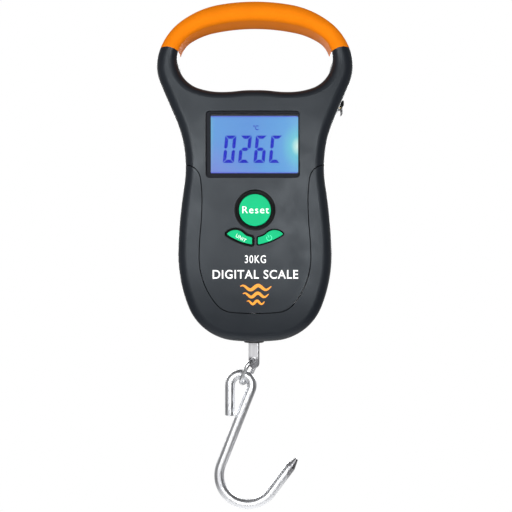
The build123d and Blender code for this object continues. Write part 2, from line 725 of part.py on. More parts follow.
# Left: one plate bridging both cells. Right: two plates, one per terminal.
with BuildPart() as battery_contacts:
    box_between(
        (-CONTACT_X, CONTACT_FRONT, CELL_ZS[1] - 4.4),
        (CONTACT_THICKNESS - CONTACT_X, TRAY_BACK - 0.4, CELL_ZS[0] + 4.4),
    )
    for z in CELL_ZS:
        box_between(
            (CONTACT_X - CONTACT_THICKNESS, CONTACT_FRONT, z - 4),
            (CONTACT_X, TRAY_BACK - 0.4, z + 4),
        )
    for side, z in ((-1, CELL_ZS[0]), (1, CELL_ZS[1])):
        plate_x = side * (CONTACT_X - CONTACT_THICKNESS)
        with BuildSketch(Plane(origin=(plate_x, CELL_Y, z), x_dir=(0, 1, 0), z_dir=(-side, 0, 0))):
            Circle(2.6)
        extrude(amount=CONTACT_X - CONTACT_THICKNESS - CELL_LENGTH / 2, taper=15)
battery_contacts.part.label = "battery_contacts"
export_step(battery_contacts.part, "parts/battery_contacts.step")

# Conical return springs on the negative ends, each as the cone its turns fill.
with BuildPart() as contact_springs:
    for side, z in ((-1, CELL_ZS[1]), (1, CELL_ZS[0])):
        start = Plane(
            origin=(side * (CONTACT_X - CONTACT_THICKNESS), CELL_Y, z), x_dir=(0, 1, 0), z_dir=(-side, 0, 0)
        )
        with BuildSketch(start):
            Circle(SPRING_BASE_R)
            Circle(SPRING_BASE_R - SPRING_WALL, mode=Mode.SUBTRACT)
        with BuildSketch(start.offset(SPRING_LENGTH)):
            Circle(SPRING_TIP_R)
            Circle(SPRING_TIP_R - SPRING_WALL, mode=Mode.SUBTRACT)
        loft()
contact_springs.part.label = "contact_springs"
export_step(contact_springs.part, "parts/contact_springs.step")


def cell_profile():
    """Half section of an AAA cell along its axis, the nub to the right."""
    with BuildLine() as profile:
        half = CELL_LENGTH / 2
        Polyline(
            (-half, 0), (-half, 3.4), (0.3 - half, 3.6), (0.3 - half, CELL_R - 0.4), (0.7 - half, CELL_R),
            (half - 1.3, CELL_R), (half - 0.9, CELL_R - 0.4), (half - 0.9, 1.9), (half - 0.2, 1.9),
            (half, 1.7), (half, 0),
            close=True,
        )
    make_face(profile.edges())


with BuildPart() as battery_upper:
    with BuildSketch(Plane(origin=(0, CELL_Y, CELL_ZS[0]), x_dir=(-1, 0, 0), z_dir=(0, -1, 0))):
        cell_profile()
    revolve(axis=Axis((0, CELL_Y, CELL_ZS[0]), (1, 0, 0)))
battery_upper.part.label = "battery_upper"
export_step(battery_upper.part, "parts/battery_upper.step")

with BuildPart() as battery_lower:
    with BuildSketch(Plane(origin=(0, CELL_Y, CELL_ZS[1]), x_dir=(1, 0, 0), z_dir=(0, -1, 0))):
        cell_profile()
    revolve(axis=Axis((0, CELL_Y, CELL_ZS[1]), (1, 0, 0)))
battery_lower.part.label = "battery_lower"
export_step(battery_lower.part, "parts/battery_lower.step")

with BuildPart() as battery_leads:
    bore_along_y([(-22, -86), (22, -86)], 0.6, BOARD_BACK, TRAY_FRONT, Mode.ADD)
battery_leads.part.label = "battery_leads"
export_step(battery_leads.part, "parts/battery_leads.step")

with BuildPart() as battery_door:
    box_between(
        (-DOOR_HALF_WIDTH, BODY_BACK - DOOR_THICKNESS, DOOR_BOTTOM), (DOOR_HALF_WIDTH, BODY_BACK, DOOR_TOP)
    )
    fillet(battery_door.edges().filter_by(Axis.Y), 1.2)
    for line in range(DOOR_GROOVES):
        z = DOOR_BOTTOM + 3 + 1.6 * line
        box_between((-9, BODY_BACK - 0.6, z - 0.35), (9, BODY_BACK + 1, z + 0.35), mode=Mode.SUBTRACT)
    for x in DOOR_TABS_X:
        foot = (x - DOOR_TAB_HALF_WIDTH, DOOR_TAB_FRONT, DOOR_TOP - 1.5)
        box_between(foot, (x + DOOR_TAB_HALF_WIDTH, BODY_BACK - DOOR_THICKNESS, DOOR_TOP))
        box_between(foot, (x + DOOR_TAB_HALF_WIDTH, BODY_BACK - WALL - 0.1, DOOR_TOP + 2.2))
battery_door.part.label = "battery_door"
export_step(battery_door.part, "parts/battery_door.step")

# ----------------------------------------------------------------- load cell
with BuildPart() as load_plate:
    box_between(
        (-PLATE_HALF_LENGTH, -PLATE_HALF_DEPTH, PLATE_BOTTOM), (PLATE_HALF_LENGTH, PLATE_HALF_DEPTH, PLATE_TOP)
    )
    fillet(load_plate.edges().filter_by(Axis.Z), 1.5)
    with Locations((STEM_X, 0, PLATE_TOP)):
        Cylinder(5.1, 10, mode=Mode.SUBTRACT)
    with Locations(*[(x, 0, PLATE_TOP) for x in BEAM_SCREWS_X]):
        Cylinder(1.6, 10, mode=Mode.SUBTRACT)
load_plate.part.label = "load_plate"
export_step(load_plate.part, "parts/load_plate.step")

with BuildPart() as load_spacer:
    box_between((15.8, -BEAM_HALF_DEPTH, BEAM_TOP), (BEAM_RIGHT, BEAM_HALF_DEPTH, PLATE_BOTTOM))
    with Locations(*[(x, 0, BEAM_TOP) for x in BEAM_SCREWS_X]):
        Cylinder(1.6, 10, mode=Mode.SUBTRACT)
load_spacer.part.label = "load_spacer"
export_step(load_spacer.part, "parts/load_spacer.step")

with BuildPart() as load_cell:
    box_between((BEAM_LEFT, -BEAM_HALF_DEPTH, BEAM_BOTTOM), (BEAM_RIGHT, BEAM_HALF_DEPTH, BEAM_TOP))
    chamfer(load_cell.edges().filter_by(Axis.X), 0.4)
    with BuildSketch(at_depth(-MAX_DEPTH)):
        with Locations(*[(x, BEAM_MIDDLE_Z) for x in BEAM_HOLES_X]):
            Circle(BEAM_HOLE_R)
        with Locations((sum(BEAM_HOLES_X) / 2, BEAM_MIDDLE_Z)):
            Rectangle(BEAM_HOLES_X[1] - BEAM_HOLES_X[0], 2)
    extrude(amount=-2 * MAX_DEPTH, mode=Mode.SUBTRACT)
    with Locations((STEM_X, 0, BEAM_MIDDLE_Z)):
        Cylinder(STEM_R + 0.06, 20, mode=Mode.SUBTRACT)
    with Locations(*[(x, 0, BEAM_TOP) for x in BEAM_SCREWS_X]):
        Cylinder(1.5, 14, mode=Mode.SUBTRACT)
load_cell.part.label = "load_cell"
export_step(load_cell.part, "parts/load_cell.step")

with BuildPart() as load_screws:
    for x in BEAM_SCREWS_X:
        with BuildSketch(Plane(origin=(x, 0, BEAM_TOP - 6.8), z_dir=(0, 0, 1))):
            Circle(1.5)
        extrude(amount=PLATE_TOP - BEAM_TOP + 6.8)
        with BuildSketch(Plane(origin=(x, 0, PLATE_TOP), z_dir=(0, 0, 1))):
            Circle(2.6)
        extrude(amount=2.4)
        with BuildSketch(Plane(origin=(x, 0, PLATE_TOP + 2.4), z_dir=(0, 0, 1))):
            RegularPolygon(1.45, 6)
        extrude(amount=-1.5, mode=Mode.SUBTRACT)
load_screws.part.label = "load_screws"
export_step(load_screws.part, "parts/load_screws.step")

with BuildPart() as strain_gauges:
    for x in BEAM_HOLES_X:
        for z in (BEAM_TOP, BEAM_BOTTOM - GAUGE_THICKNESS):
            box_between((x - 2.1, -2.6, z), (x + 2.1, 2.6, z + GAUGE_THICKNESS))
strain_gauges.part.label = "strain_gauges"
export_step(strain_gauges.part, "parts/strain_gauges.step")

# The gauges' lead, from the beam's front face up to the foot of the board.
with BuildPart() as gauge_cable:
    with BuildLine():
        FilletPolyline(
            (4, -BEAM_HALF_DEPTH, -131.5), (4, -10, -131.5), (4, -10, -111), (4, BOARD_FRONT, -111),
            radius=GAUGE_CABLE_BEND_R,
        )
    with BuildSketch(at_depth(-BEAM_HALF_DEPTH, 4, -131.5)):
        Circle(GAUGE_CABLE_R)
    sweep()
gauge_cable.part.label = "gauge_cable"
export_step(gauge_cable.part, "parts/gauge_cable.step")

# --------------------------------------------------------- stem, link, S-hook
with BuildPart() as stem_washer:
    with BuildSketch(Plane(origin=(STEM_X, 0, BEAM_TOP), z_dir=(0, 0, 1))):
        Circle(4.8)
        Circle(STEM_R + 0.1, mode=Mode.SUBTRACT)
    extrude(amount=WASHER_THICKNESS)
stem_washer.part.label = "stem_washer"
export_step(stem_washer.part, "parts/stem_washer.step")

with BuildPart() as stem_nut:
    with BuildSketch(Plane(origin=(STEM_X, 0, NUT_BOTTOM), z_dir=(0, 0, 1))):
        RegularPolygon(NUT_FLATS / 2, 6, major_radius=False)
        Circle(STEM_R, mode=Mode.SUBTRACT)
    extrude(amount=NUT_HEIGHT)
stem_nut.part.label = "stem_nut"
export_step(stem_nut.part, "parts/stem_nut.step")

with BuildPart() as bottom_collar:
    for radius, low, high in (
        (COLLAR_R, HOUSING_BOTTOM - COLLAR_LIP, HOUSING_BOTTOM),
        (COLLAR_WAIST_R, HOUSING_BOTTOM, HOUSING_BOTTOM + WALL + 0.2),
        (COLLAR_R, HOUSING_BOTTOM + WALL + 0.2, HOUSING_BOTTOM + WALL + 1.4),
    ):
        with BuildSketch(Plane(origin=(STEM_X, 0, low), z_dir=(0, 0, 1))):
            Circle(radius)
        extrude(amount=high - low)
    fillet(bottom_collar.edges().sort_by(Axis.Z)[0], 0.4)
    with Locations((STEM_X, 0, HOUSING_BOTTOM)):
        Cylinder(STEM_R + 0.3, 12, mode=Mode.SUBTRACT)
bottom_collar.part.label = "bottom_collar"
export_step(bottom_collar.part, "parts/bottom_collar.step")

# The stem: a round shank forged to a flat eye, whose hole lies along eye_axis.
eye_axis = Vector(cos(radians(EYE_TURN)), sin(radians(EYE_TURN)), 0)
eye_width = Vector(sin(radians(EYE_TURN)), -cos(radians(EYE_TURN)), 0)
eye_centre = Vector(STEM_X, 0, EYE_CENTRE_Z)
eye_plane = Plane(origin=eye_centre, x_dir=eye_width, z_dir=eye_axis)
with BuildPart() as hook_stem:
    with BuildSketch(Plane(origin=(STEM_X, 0, EYE_PLATE_TOP), z_dir=(0, 0, 1))):
        Circle(STEM_R)
    extrude(amount=NUT_BOTTOM + NUT_HEIGHT + 0.8 - EYE_PLATE_TOP)
    chamfer(hook_stem.edges().sort_by(Axis.Z)[-1], 0.5)
    with BuildSketch(eye_plane.offset(-EYE_PLATE_THICKNESS / 2)) as plate:
        half = EYE_PLATE_WIDTH / 2
        sign = 1 if eye_plane.y_dir.Z > 0 else -1
        top = sign * (EYE_PLATE_TOP + 0.6 - EYE_CENTRE_Z)
        foot = sign * (EYE_PLATE_BOTTOM + half - EYE_CENTRE_Z)
        with BuildLine():
            Polyline((-half, foot), (-half, top), (half, top), (half, foot))
            ThreePointArc((half, foot), (0, foot - sign * half), (-half, foot))
        make_face()
    extrude(amount=EYE_PLATE_THICKNESS)
    chamfer(hook_stem.edges().group_by(Axis.Z)[0], 0.3)
    with BuildSketch(eye_plane.offset(-10)):
        Circle(EYE_HOLE_R)
    extrude(amount=20, mode=Mode.SUBTRACT)
hook_stem.part.label = "hook_stem"
export_step(hook_stem.part, "parts/hook_stem.step")

# The link hangs from the eye, tilted about eye_axis towards the left and back.
link_down = Vector(0, 0, -cos(radians(LINK_TILT))) - eye_width * sin(radians(LINK_TILT))
link_plane = Plane(origin=eye_centre, x_dir=eye_axis, z_dir=eye_axis.cross(link_down * -1))
with BuildPart() as link:
    with BuildLine(link_plane):
        low = LINK_BEND_R - LINK_REACH
        upper = CenterArc((0, -LINK_BEND_R), LINK_BEND_R, 0, 180)
        lower = CenterArc((0, low), LINK_BEND_R, 180, 180)
        Line(upper @ 1, lower @ 0)
        Line(lower @ 1, upper @ 0)
    side_start = link_plane.from_local_coords((LINK_BEND_R, -LINK_BEND_R, 0))
    with BuildSketch(Plane(origin=side_start, z_dir=link_plane.y_dir)):
        Circle(LINK_WIRE_R)
    sweep()
link.part.label = "link"
export_step(link.part, "parts/link.step")

# The S-hook: one round bar. The shank is the inner tangent of the two bends.
eye_x, eye_z = HOOK_EYE
bend_x, bend_z = HOOK_BEND
span = hypot(bend_x - eye_x, bend_z - eye_z)
lean = asin((HOOK_EYE_R + HOOK_BEND_R) / span) - atan2(bend_x - eye_x, eye_z - bend_z)
leave = radians(HOOK_LEAVE_ANGLE)
limb_x = eye_x - HOOK_EYE_R
limb_foot = (limb_x, HOOK_PLANE_Y, HOOK_LIMB_END)
limb_top = (limb_x, HOOK_PLANE_Y, eye_z)
eye_top = (eye_x, HOOK_PLANE_Y, eye_z + HOOK_EYE_R)
shank_top = (eye_x + HOOK_EYE_R * cos(lean), HOOK_PLANE_Y, eye_z - HOOK_EYE_R * sin(lean))
shank_foot = (bend_x - HOOK_BEND_R * cos(lean), HOOK_PLANE_Y, bend_z + HOOK_BEND_R * sin(lean))
bend_foot = (bend_x, HOOK_PLANE_Y, bend_z - HOOK_BEND_R)
bend_end = (bend_x + HOOK_BEND_R * cos(leave), HOOK_PLANE_Y, bend_z + HOOK_BEND_R * sin(leave))
point_way = (-sin(leave), 0, cos(leave))
point_root = tuple(end + HOOK_POINT_RUN * way for end, way in zip(bend_end, point_way))
with BuildPart() as s_hook:
    with BuildLine():
        Line(limb_foot, limb_top)
        ThreePointArc(limb_top, eye_top, shank_top)
        Line(shank_top, shank_foot)
        ThreePointArc(shank_foot, bend_foot, bend_end)
        Line(bend_end, point_root)
    with BuildSketch(Plane(origin=limb_foot, z_dir=(0, 0, 1))):
        Circle(HOOK_BAR_R)
    sweep()
    chamfer(s_hook.edges().filter_by(lambda e: abs(e.center().Z - HOOK_LIMB_END) < 0.01), 0.35)
    point = Plane(origin=point_root, z_dir=point_way)
    with BuildSketch(point):
        Circle(HOOK_BAR_R)
    with BuildSketch(point.offset(HOOK_POINT_LENGTH)):
        Circle(HOOK_POINT_R)
    loft()
s_hook.part.label = "s_hook"
export_step(s_hook.part, "parts/s_hook.step")

# -------------------------------------------------------------- tape measure
def drum(radius, y_from, y_to, mode=Mode.ADD):
    """A disc about the reel's axis."""
    bore_along_y([(REEL_X, REEL_Z)], radius, y_from, y_to, mode)


with BuildPart() as tape_case:
    drum(CASE_R, CASE_FRONT + CASE_LID, CASE_BACK)
    drum(CASE_R - CASE_WALL, CASE_FRONT + CASE_LID, CASE_BACK - CASE_WALL, Mode.SUBTRACT)
    box_between(
        (REEL_X + 2, BLADE_FRONT - 0.6, BLADE_BOTTOM - 0.7),
        (REEL_X + 20, BLADE_BACK + 0.6, BLADE_BOTTOM + 0.7),
        mode=Mode.SUBTRACT,
    )
tape_case.part.label = "tape_case"
export_step(tape_case.part, "parts/tape_case.step")

with BuildPart() as tape_case_lid:
    drum(CASE_R, CASE_FRONT, CASE_FRONT + CASE_LID)
tape_case_lid.part.label = "tape_case_lid"
export_step(tape_case_lid.part, "parts/tape_case_lid.step")

with BuildPart() as tape_axle:
    drum(AXLE_R, CASE_FRONT + CASE_LID, CASE_BACK - CASE_WALL)
tape_axle.part.label = "tape_axle"
export_step(tape_axle.part, "parts/tape_axle.step")

with BuildPart() as tape_reel:
    drum(REEL_HUB_R, REEL_FRONT, REEL_BACK)
    drum(REEL_FLANGE_R, REEL_FRONT, REEL_FRONT + REEL_WALL)
    drum(REEL_FLANGE_R, REEL_BACK - REEL_WALL, REEL_BACK)
    drum(REEL_HUB_R - REEL_WALL, REEL_FRONT, REEL_BACK - REEL_WALL, Mode.SUBTRACT)
    drum(AXLE_R + 0.05, REEL_FRONT, REEL_BACK, Mode.SUBTRACT)
tape_reel.part.label = "tape_reel"
export_step(tape_reel.part, "parts/tape_reel.step")

with BuildPart() as tape_coil:
    drum(COIL_R - 0.05, BLADE_FRONT, BLADE_BACK)
    drum(REEL_HUB_R, BLADE_FRONT, BLADE_BACK, Mode.SUBTRACT)
tape_coil.part.label = "tape_coil"
export_step(tape_coil.part, "parts/tape_coil.step")

with BuildPart() as tape_spring:
    drum(SPRING_OUTER_R, SPRING_FRONT, SPRING_BACK)
    drum(SPRING_INNER_R, SPRING_FRONT, SPRING_BACK, Mode.SUBTRACT)
tape_spring.part.label = "tape_spring"
export_step(tape_spring.part, "parts/tape_spring.step")

with BuildPart() as tape_blade:
    box_between((REEL_X, BLADE_FRONT, BLADE_BOTTOM), (BLADE_END_X - END_HOOK_THICKNESS, BLADE_BACK, BLADE_TOP))
    with Locations(*[(x, BLADE_MIDDLE, BLADE_BOTTOM) for x in RIVETS_X]):
        Cylinder(RIVET_R, 2, mode=Mode.SUBTRACT)
tape_blade.part.label = "tape_blade"
export_step(tape_blade.part, "parts/tape_blade.step")

with BuildPart() as tape_end_hook:
    box_between(
        (RIVETS_X[0] - 1, BLADE_FRONT + 0.2, BLADE_BOTTOM - END_HOOK_THICKNESS),
        (BLADE_END_X, BLADE_BACK - 0.2, BLADE_BOTTOM),
    )
    box_between(
        (BLADE_END_X - END_HOOK_THICKNESS, BLADE_FRONT - 0.8, END_HOOK_FOOT),
        (BLADE_END_X, BLADE_BACK + 0.8, BLADE_TOP + 0.1),
    )
    with Locations(*[(x, BLADE_MIDDLE, BLADE_BOTTOM) for x in RIVETS_X]):
        Cylinder(RIVET_R, 4, mode=Mode.SUBTRACT)
tape_end_hook.part.label = "tape_end_hook"
export_step(tape_end_hook.part, "parts/tape_end_hook.step")

with BuildPart() as tape_rivets:
    for x in RIVETS_X:
        with BuildSketch(Plane(origin=(x, BLADE_MIDDLE, BLADE_BOTTOM - END_HOOK_THICKNESS), z_dir=(0, 0, 1))):
            Circle(RIVET_R)
        extrude(amount=END_HOOK_THICKNESS + BLADE_THICKNESS)
        with BuildSketch(Plane(origin=(x, BLADE_MIDDLE, BLADE_TOP), z_dir=(0, 0, 1))):
            Circle(RIVET_HEAD_R)
        extrude(amount=RIVET_HEAD_HEIGHT)
tape_rivets.part.label = "tape_rivets"
export_step(tape_rivets.part, "parts/tape_rivets.step")

with BuildPart() as tape_mouth:
    with BuildSketch(at_depth(MOUTH_BACK)):
        with BuildLine():
            Polyline(
                (MOUTH_LEFT, MOUTH_TOP), (MOUTH_FACE, MOUTH_TOP), (MOUTH_FACE, BLADE_TOP + 0.5),
                (MOUTH_FACE - 2, BLADE_TOP + 0.5), (MOUTH_FACE - 3.3, MOUTH_BOTTOM), (MOUTH_LEFT, MOUTH_BOTTOM),
                close=True,
            )
        make_face()
    extrude(amount=MOUTH_BACK - MOUTH_FRONT)
    fillet(tape_mouth.faces().sort_by(Axis.X)[-1].edges(), 0.5)
    slot_top = BLADE_TOP + 0.55
    box_between(
        (MOUTH_LEFT, BLADE_FRONT - 0.5, BLADE_BOTTOM - 0.75),
        (BEYOND_X, BLADE_BACK + 0.5, slot_top),
        mode=Mode.SUBTRACT,
    )
    box_between(
        (BLADE_END_X - 0.8, BLADE_FRONT - 1.1, MOUTH_BOTTOM),
        (BEYOND_X, BLADE_BACK + 1.1, slot_top),
        mode=Mode.SUBTRACT,
    )
tape_mouth.part.label = "tape_mouth"
export_step(tape_mouth.part, "parts/tape_mouth.step")
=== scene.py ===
"""The look of a hand-held digital fish scale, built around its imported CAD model.

Everything is in metres in the CAD's own frame: X right, Z up, the display facing -Y.
"""
import math

import bmesh
import bpy
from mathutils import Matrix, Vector
from mathutils.bvhtree import BVHTree


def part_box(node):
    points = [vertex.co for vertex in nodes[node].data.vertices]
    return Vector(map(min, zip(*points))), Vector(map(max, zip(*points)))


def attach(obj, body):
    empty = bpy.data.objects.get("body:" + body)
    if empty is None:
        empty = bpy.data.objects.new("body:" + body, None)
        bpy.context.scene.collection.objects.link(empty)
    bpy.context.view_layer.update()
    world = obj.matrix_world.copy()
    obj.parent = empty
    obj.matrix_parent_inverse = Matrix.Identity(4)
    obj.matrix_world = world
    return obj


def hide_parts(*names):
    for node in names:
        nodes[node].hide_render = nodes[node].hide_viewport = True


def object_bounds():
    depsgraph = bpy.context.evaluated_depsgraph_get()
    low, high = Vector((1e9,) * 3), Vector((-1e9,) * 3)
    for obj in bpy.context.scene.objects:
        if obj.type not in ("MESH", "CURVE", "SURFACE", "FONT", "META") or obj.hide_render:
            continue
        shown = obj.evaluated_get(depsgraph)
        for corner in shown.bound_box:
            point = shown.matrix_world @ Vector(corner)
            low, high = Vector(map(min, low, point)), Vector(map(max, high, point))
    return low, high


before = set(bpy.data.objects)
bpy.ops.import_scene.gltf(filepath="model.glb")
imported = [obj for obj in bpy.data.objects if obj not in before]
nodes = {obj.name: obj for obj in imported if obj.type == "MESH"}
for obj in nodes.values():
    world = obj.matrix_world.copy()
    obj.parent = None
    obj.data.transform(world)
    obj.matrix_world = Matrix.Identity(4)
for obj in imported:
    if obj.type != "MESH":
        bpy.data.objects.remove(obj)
cad_low, cad_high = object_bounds()

MM = 0.001
scene = bpy.context.scene

# ------------------------------------------------------------- camera, light
CAMERA_DISTANCE = 0.480
CAMERA_HEIGHT = -0.11545
CAMERA_X = 0.0005
LENS = 67.5
SENSOR = 36.0
CLIP_START = 0.01
CLIP_END = 20

# Each lamp's name, place, target, size in metres and power in watts.
MIDDLE = (0, 0, -0.10)
SOFTBOXES = (
    ("key_light", (-0.40, -1.05, 0.07), MIDDLE, (0.46, 0.36), 5.0),
    ("fill_light", (0.22, -1.08, 0.0), MIDDLE, (0.22, 0.50), 4.0),
    ("back_key", (0.42, 1.05, 0.10), MIDDLE, (0.50, 0.40), 5.0),
    ("back_fill", (-0.30, 1.10, -0.02), MIDDLE, (0.30, 0.50), 4.5),
)
# The washes lift the matt colours and aren't mirrored in the gloss.
WASHES = (
    ("front_wash", (0.0, -1.2, 0.15), MIDDLE, (1.0, 1.0), 4.5),
    ("back_wash", (0.0, 1.2, 0.30), MIDDLE, (1.0, 1.0), 5.0),
    ("left_wash", (-1.1, 0.0, 0.10), MIDDLE, (0.8, 0.8), 4.0),
    ("right_wash", (1.1, 0.0, 0.10), MIDDLE, (0.8, 0.8), 4.0),
    ("bounce_wash", (0.0, -0.45, -0.85), (0, 0, -0.05), (0.9, 0.35), 8.0),
)


def srgb(red, green, blue):
    """A colour given in display values from 0 to 255, as the linear one that shaders take."""

    def linear(value):
        value /= 255
        return value / 12.92 if value <= 0.04045 else ((value + 0.055) / 1.055) ** 2.4

    return (linear(red), linear(green), linear(blue), 1.0)


def aim(thing, target):
    """Turns a light or camera to look at a point."""
    direction = Vector(target) - thing.location
    thing.rotation_euler = direction.to_track_quat("-Z", "Y").to_euler()


def make_camera():
    """Looks at the display straight on, from the height of the body's middle."""
    camera = bpy.data.objects.new("camera", bpy.data.cameras.new("camera"))
    camera.data.lens = LENS
    camera.data.sensor_width = SENSOR
    camera.location = (CAMERA_X, -CAMERA_DISTANCE, CAMERA_HEIGHT)
    aim(camera, (CAMERA_X, 0, CAMERA_HEIGHT))
    camera.data.clip_start = CLIP_START
    camera.data.clip_end = CLIP_END
    scene.collection.objects.link(camera)
    scene.camera = camera


def softbox(name, place, target, size, watts):
    """A rectangular area lamp that looks at target."""
    lamp = bpy.data.lights.new(name, "AREA")
    lamp.shape = "RECTANGLE"
    lamp.size, lamp.size_y = size
    lamp.energy = watts
    holder = bpy.data.objects.new(name, lamp)
    holder.location = place
    aim(holder, target)
    scene.collection.objects.link(holder)
    return holder


def make_lights():
    """Softboxes on all sides, and wide washes that only light."""
    for lamp in SOFTBOXES:
        softbox(*lamp)
    for lamp in WASHES:
        wash = softbox(*lamp)
        wash.visible_glossy = False
        wash.visible_transmission = False


# Brightness of the studio round the object, by the compass: 0 is behind the
# camera, 0.5 either side, 1 the backdrop. The dark strips are the black flags
# that give bright steel its edges.
STUDIO_LEFT = [
    (0.0, 0.66), (0.18, 0.52), (0.34, 0.26), (0.44, 0.24), (0.56, 0.26), (0.66, 0.40), (0.84, 0.8), (1.0, 1.0),
]
STUDIO_RIGHT = [
    (0.0, 0.66), (0.12, 0.40), (0.20, 0.04), (0.32, 0.04), (0.46, 0.22), (0.60, 0.34), (0.84, 0.8), (1.0, 1.0),
]
STUDIO_HEIGHT = [(0.0, 0.25), (0.30, 0.45), (0.50, 1.0), (0.75, 0.6), (1.0, 0.30)]


def greys(stops):
    """A ramp's stops as (position, colour), from (position, brightness)."""
    return [(position, (level, level, level, 1)) for position, level in stops]


def make_world():
    """A white backdrop to look at, and a softly lit studio to light and reflect by."""
    world = bpy.data.worlds.new("studio")
    scene.world = world
    world.use_nodes = True
    world.node_tree.nodes.clear()
    sky = Nodes(world.node_tree)

    way = sky.axes(sky.add("ShaderNodeTexCoord").outputs["Generated"])
    away = sky.maths("MULTIPLY", way["Y"], -1.0)
    turn = sky.maths("DIVIDE", sky.maths("ARCTAN2", way["X"], away), math.pi)
    round_it = sky.maths("ABSOLUTE", turn)
    left, right = (sky.ramp(round_it, greys(stops), "EASE") for stops in (STUDIO_LEFT, STUDIO_RIGHT))
    side = sky.mix(sky.maths("GREATER_THAN", turn, 0.0), left, right)
    height = sky.ramp(sky.maths("MULTIPLY_ADD", way["Z"], 0.5, 0.5), greys(STUDIO_HEIGHT), "EASE")
    level = sky.mix(1.0, side, height, "MULTIPLY")

    studio = sky.add("ShaderNodeBackground")
    sky.feed(studio.inputs["Color"], level)
    backdrop = sky.add("ShaderNodeBackground")
    backdrop.inputs["Color"].default_value = (1, 1, 1, 1)
    choice = sky.add("ShaderNodeMixShader")
    seen = sky.add("ShaderNodeLightPath").outputs["Is Camera Ray"]
    for socket, value in zip(choice.inputs, (seen, studio.outputs[0], backdrop.outputs[0])):
        sky.feed(socket, value)
    sky.feed(sky.add("ShaderNodeOutputWorld").inputs["Surface"], choice.outputs[0])


# ------------------------------------------------------------------ materials
class Nodes:
    """Adds shader nodes to a tree and wires them up.

    A value is a plain number or colour, or another node's output.
    """

    def __init__(self, tree):
        self.tree = tree

    def add(self, kind, **settings):
        node = self.tree.nodes.new(kind)
        for key, value in settings.items():
            setattr(node, key, value)
        return node

    def feed(self, socket, value):
        """Sets a socket to a plain value, or links it to another node's output."""
        if isinstance(value, bpy.types.NodeSocket):
            self.tree.links.new(value, socket)
        else:
            socket.default_value = value

    def maths(self, operation, *values):
        node = self.add("ShaderNodeMath", operation=operation)
        for socket, value in zip(node.inputs, values):
            self.feed(socket, value)
        return node.outputs[0]

    def length(self, vector):
        node = self.add("ShaderNodeVectorMath", operation="LENGTH")
        self.feed(node.inputs[0], vector)
        return node.outputs["Value"]

    def axes(self, vector):
        """The X, Y and Z of a vector."""
        node = self.add("ShaderNodeSeparateXYZ")
        self.feed(node.inputs[0], vector)
        return node.outputs

    def point(self, x, y, z):
        node = self.add("ShaderNodeCombineXYZ")
        for socket, value in zip(node.inputs, (x, y, z)):
            self.feed(socket, value)
        return node.outputs[0]

    def levels(self, value, low, high, start=0.3, end=0.7):
        """Value, stretched from start..end to low..high and kept inside them."""
        node = self.add("ShaderNodeMapRange")
        for socket, number in zip(node.inputs[1:5], (start, end, low, high)):
            socket.default_value = number
        self.feed(node.inputs[0], value)
        return node.outputs[0]

    def ramp(self, value, stops, interpolation="LINEAR"):
        """The colour at value, between stops of (position, colour)."""
        node = self.add("ShaderNodeValToRGB")
        node.color_ramp.interpolation = interpolation
        elements = node.color_ramp.elements
        while len(elements) < len(stops):
            elements.new(0.5)
        for element, (position, colour) in zip(elements, stops):
            element.position = position
            element.color = colour
        self.feed(node.inputs["Fac"], value)
        return node.outputs["Color"]

    def mix(self, factor, first, second, blend="MIX"):
        node = self.add("ShaderNodeMix", data_type="RGBA", blend_type=blend)
        sockets = (node.inputs["Factor"], node.inputs["A"], node.inputs["B"])
        for socket, value in zip(sockets, (factor, first, second)):
            self.feed(socket, value)
        return node.outputs["Result"]


class Finish(Nodes):
    """One Principled material, with its detail from patterns fixed in the object's frame."""

    def __init__(self, name, colour, roughness, metallic=0.0, **sockets):
        self.material = bpy.data.materials.new(name)
        self.material.use_nodes = True
        super().__init__(self.material.node_tree)
        self.shader = self.tree.nodes["Principled BSDF"]
        where = self.add("ShaderNodeTexCoord")
        self.place = where.outputs["Object"]
        self.facing = where.outputs["Normal"]
        self.shader.inputs["Base Color"].default_value = colour
        self.shader.inputs["Roughness"].default_value = roughness
        self.shader.inputs["Metallic"].default_value = metallic
        for socket, value in sockets.items():
            self.shader.inputs[socket.replace("_", " ")].default_value = value

    def connect(self, value, socket):
        self.tree.links.new(value, self.shader.inputs[socket])

    def glow(self, colour, strength):
        """Makes the surface shine in a plain colour, or in another node's."""
        self.feed(self.shader.inputs["Emission Color"], colour)
        self.shader.inputs["Emission Strength"].default_value = strength

    def noise(self, size, detail=2.0, vector=None):
        """Cloudy noise with features about size metres across."""
        node = self.add("ShaderNodeTexNoise")
        node.inputs["Scale"].default_value = 1 / size
        node.inputs["Detail"].default_value = detail
        self.feed(node.inputs["Vector"], vector or self.place)
        return node.outputs["Fac"]

    def distance(self, x, z, stretch=1.0):
        """How far a point lies from (x, z), seen from the front, with heights taken stretch times."""
        here = self.axes(self.place)
        up = self.maths("SUBTRACT", here["Z"], z)
        if stretch != 1.0:
            up = self.maths("MULTIPLY", up, stretch)
        return self.length(self.point(self.maths("SUBTRACT", here["X"], x), 0.0, up))

    def bump(self, height, depth):
        """Raises the surface by up to depth metres where height is 1."""
        node = self.add("ShaderNodeBump")
        node.inputs["Distance"].default_value = depth
        self.feed(node.inputs["Height"], height)
        self.connect(node.outputs[0], "Normal")

    def sharpness(self):
        """0.5 on flat faces, more on convex edges and less in hollows."""
        return self.add("ShaderNodeNewGeometry").outputs["Pointiness"]


def scaled(colour, share):
    """A colour made lighter or darker."""
    return tuple(channel * share for channel in colour[:3]) + (1.0,)


FLOOR_DROP = 0.095
FLOOR_RADIUS = 0.24
FLOOR_FADE_START = 0.08
FLOOR_FADE_END = 0.98
FLOOR_SIDES = 96


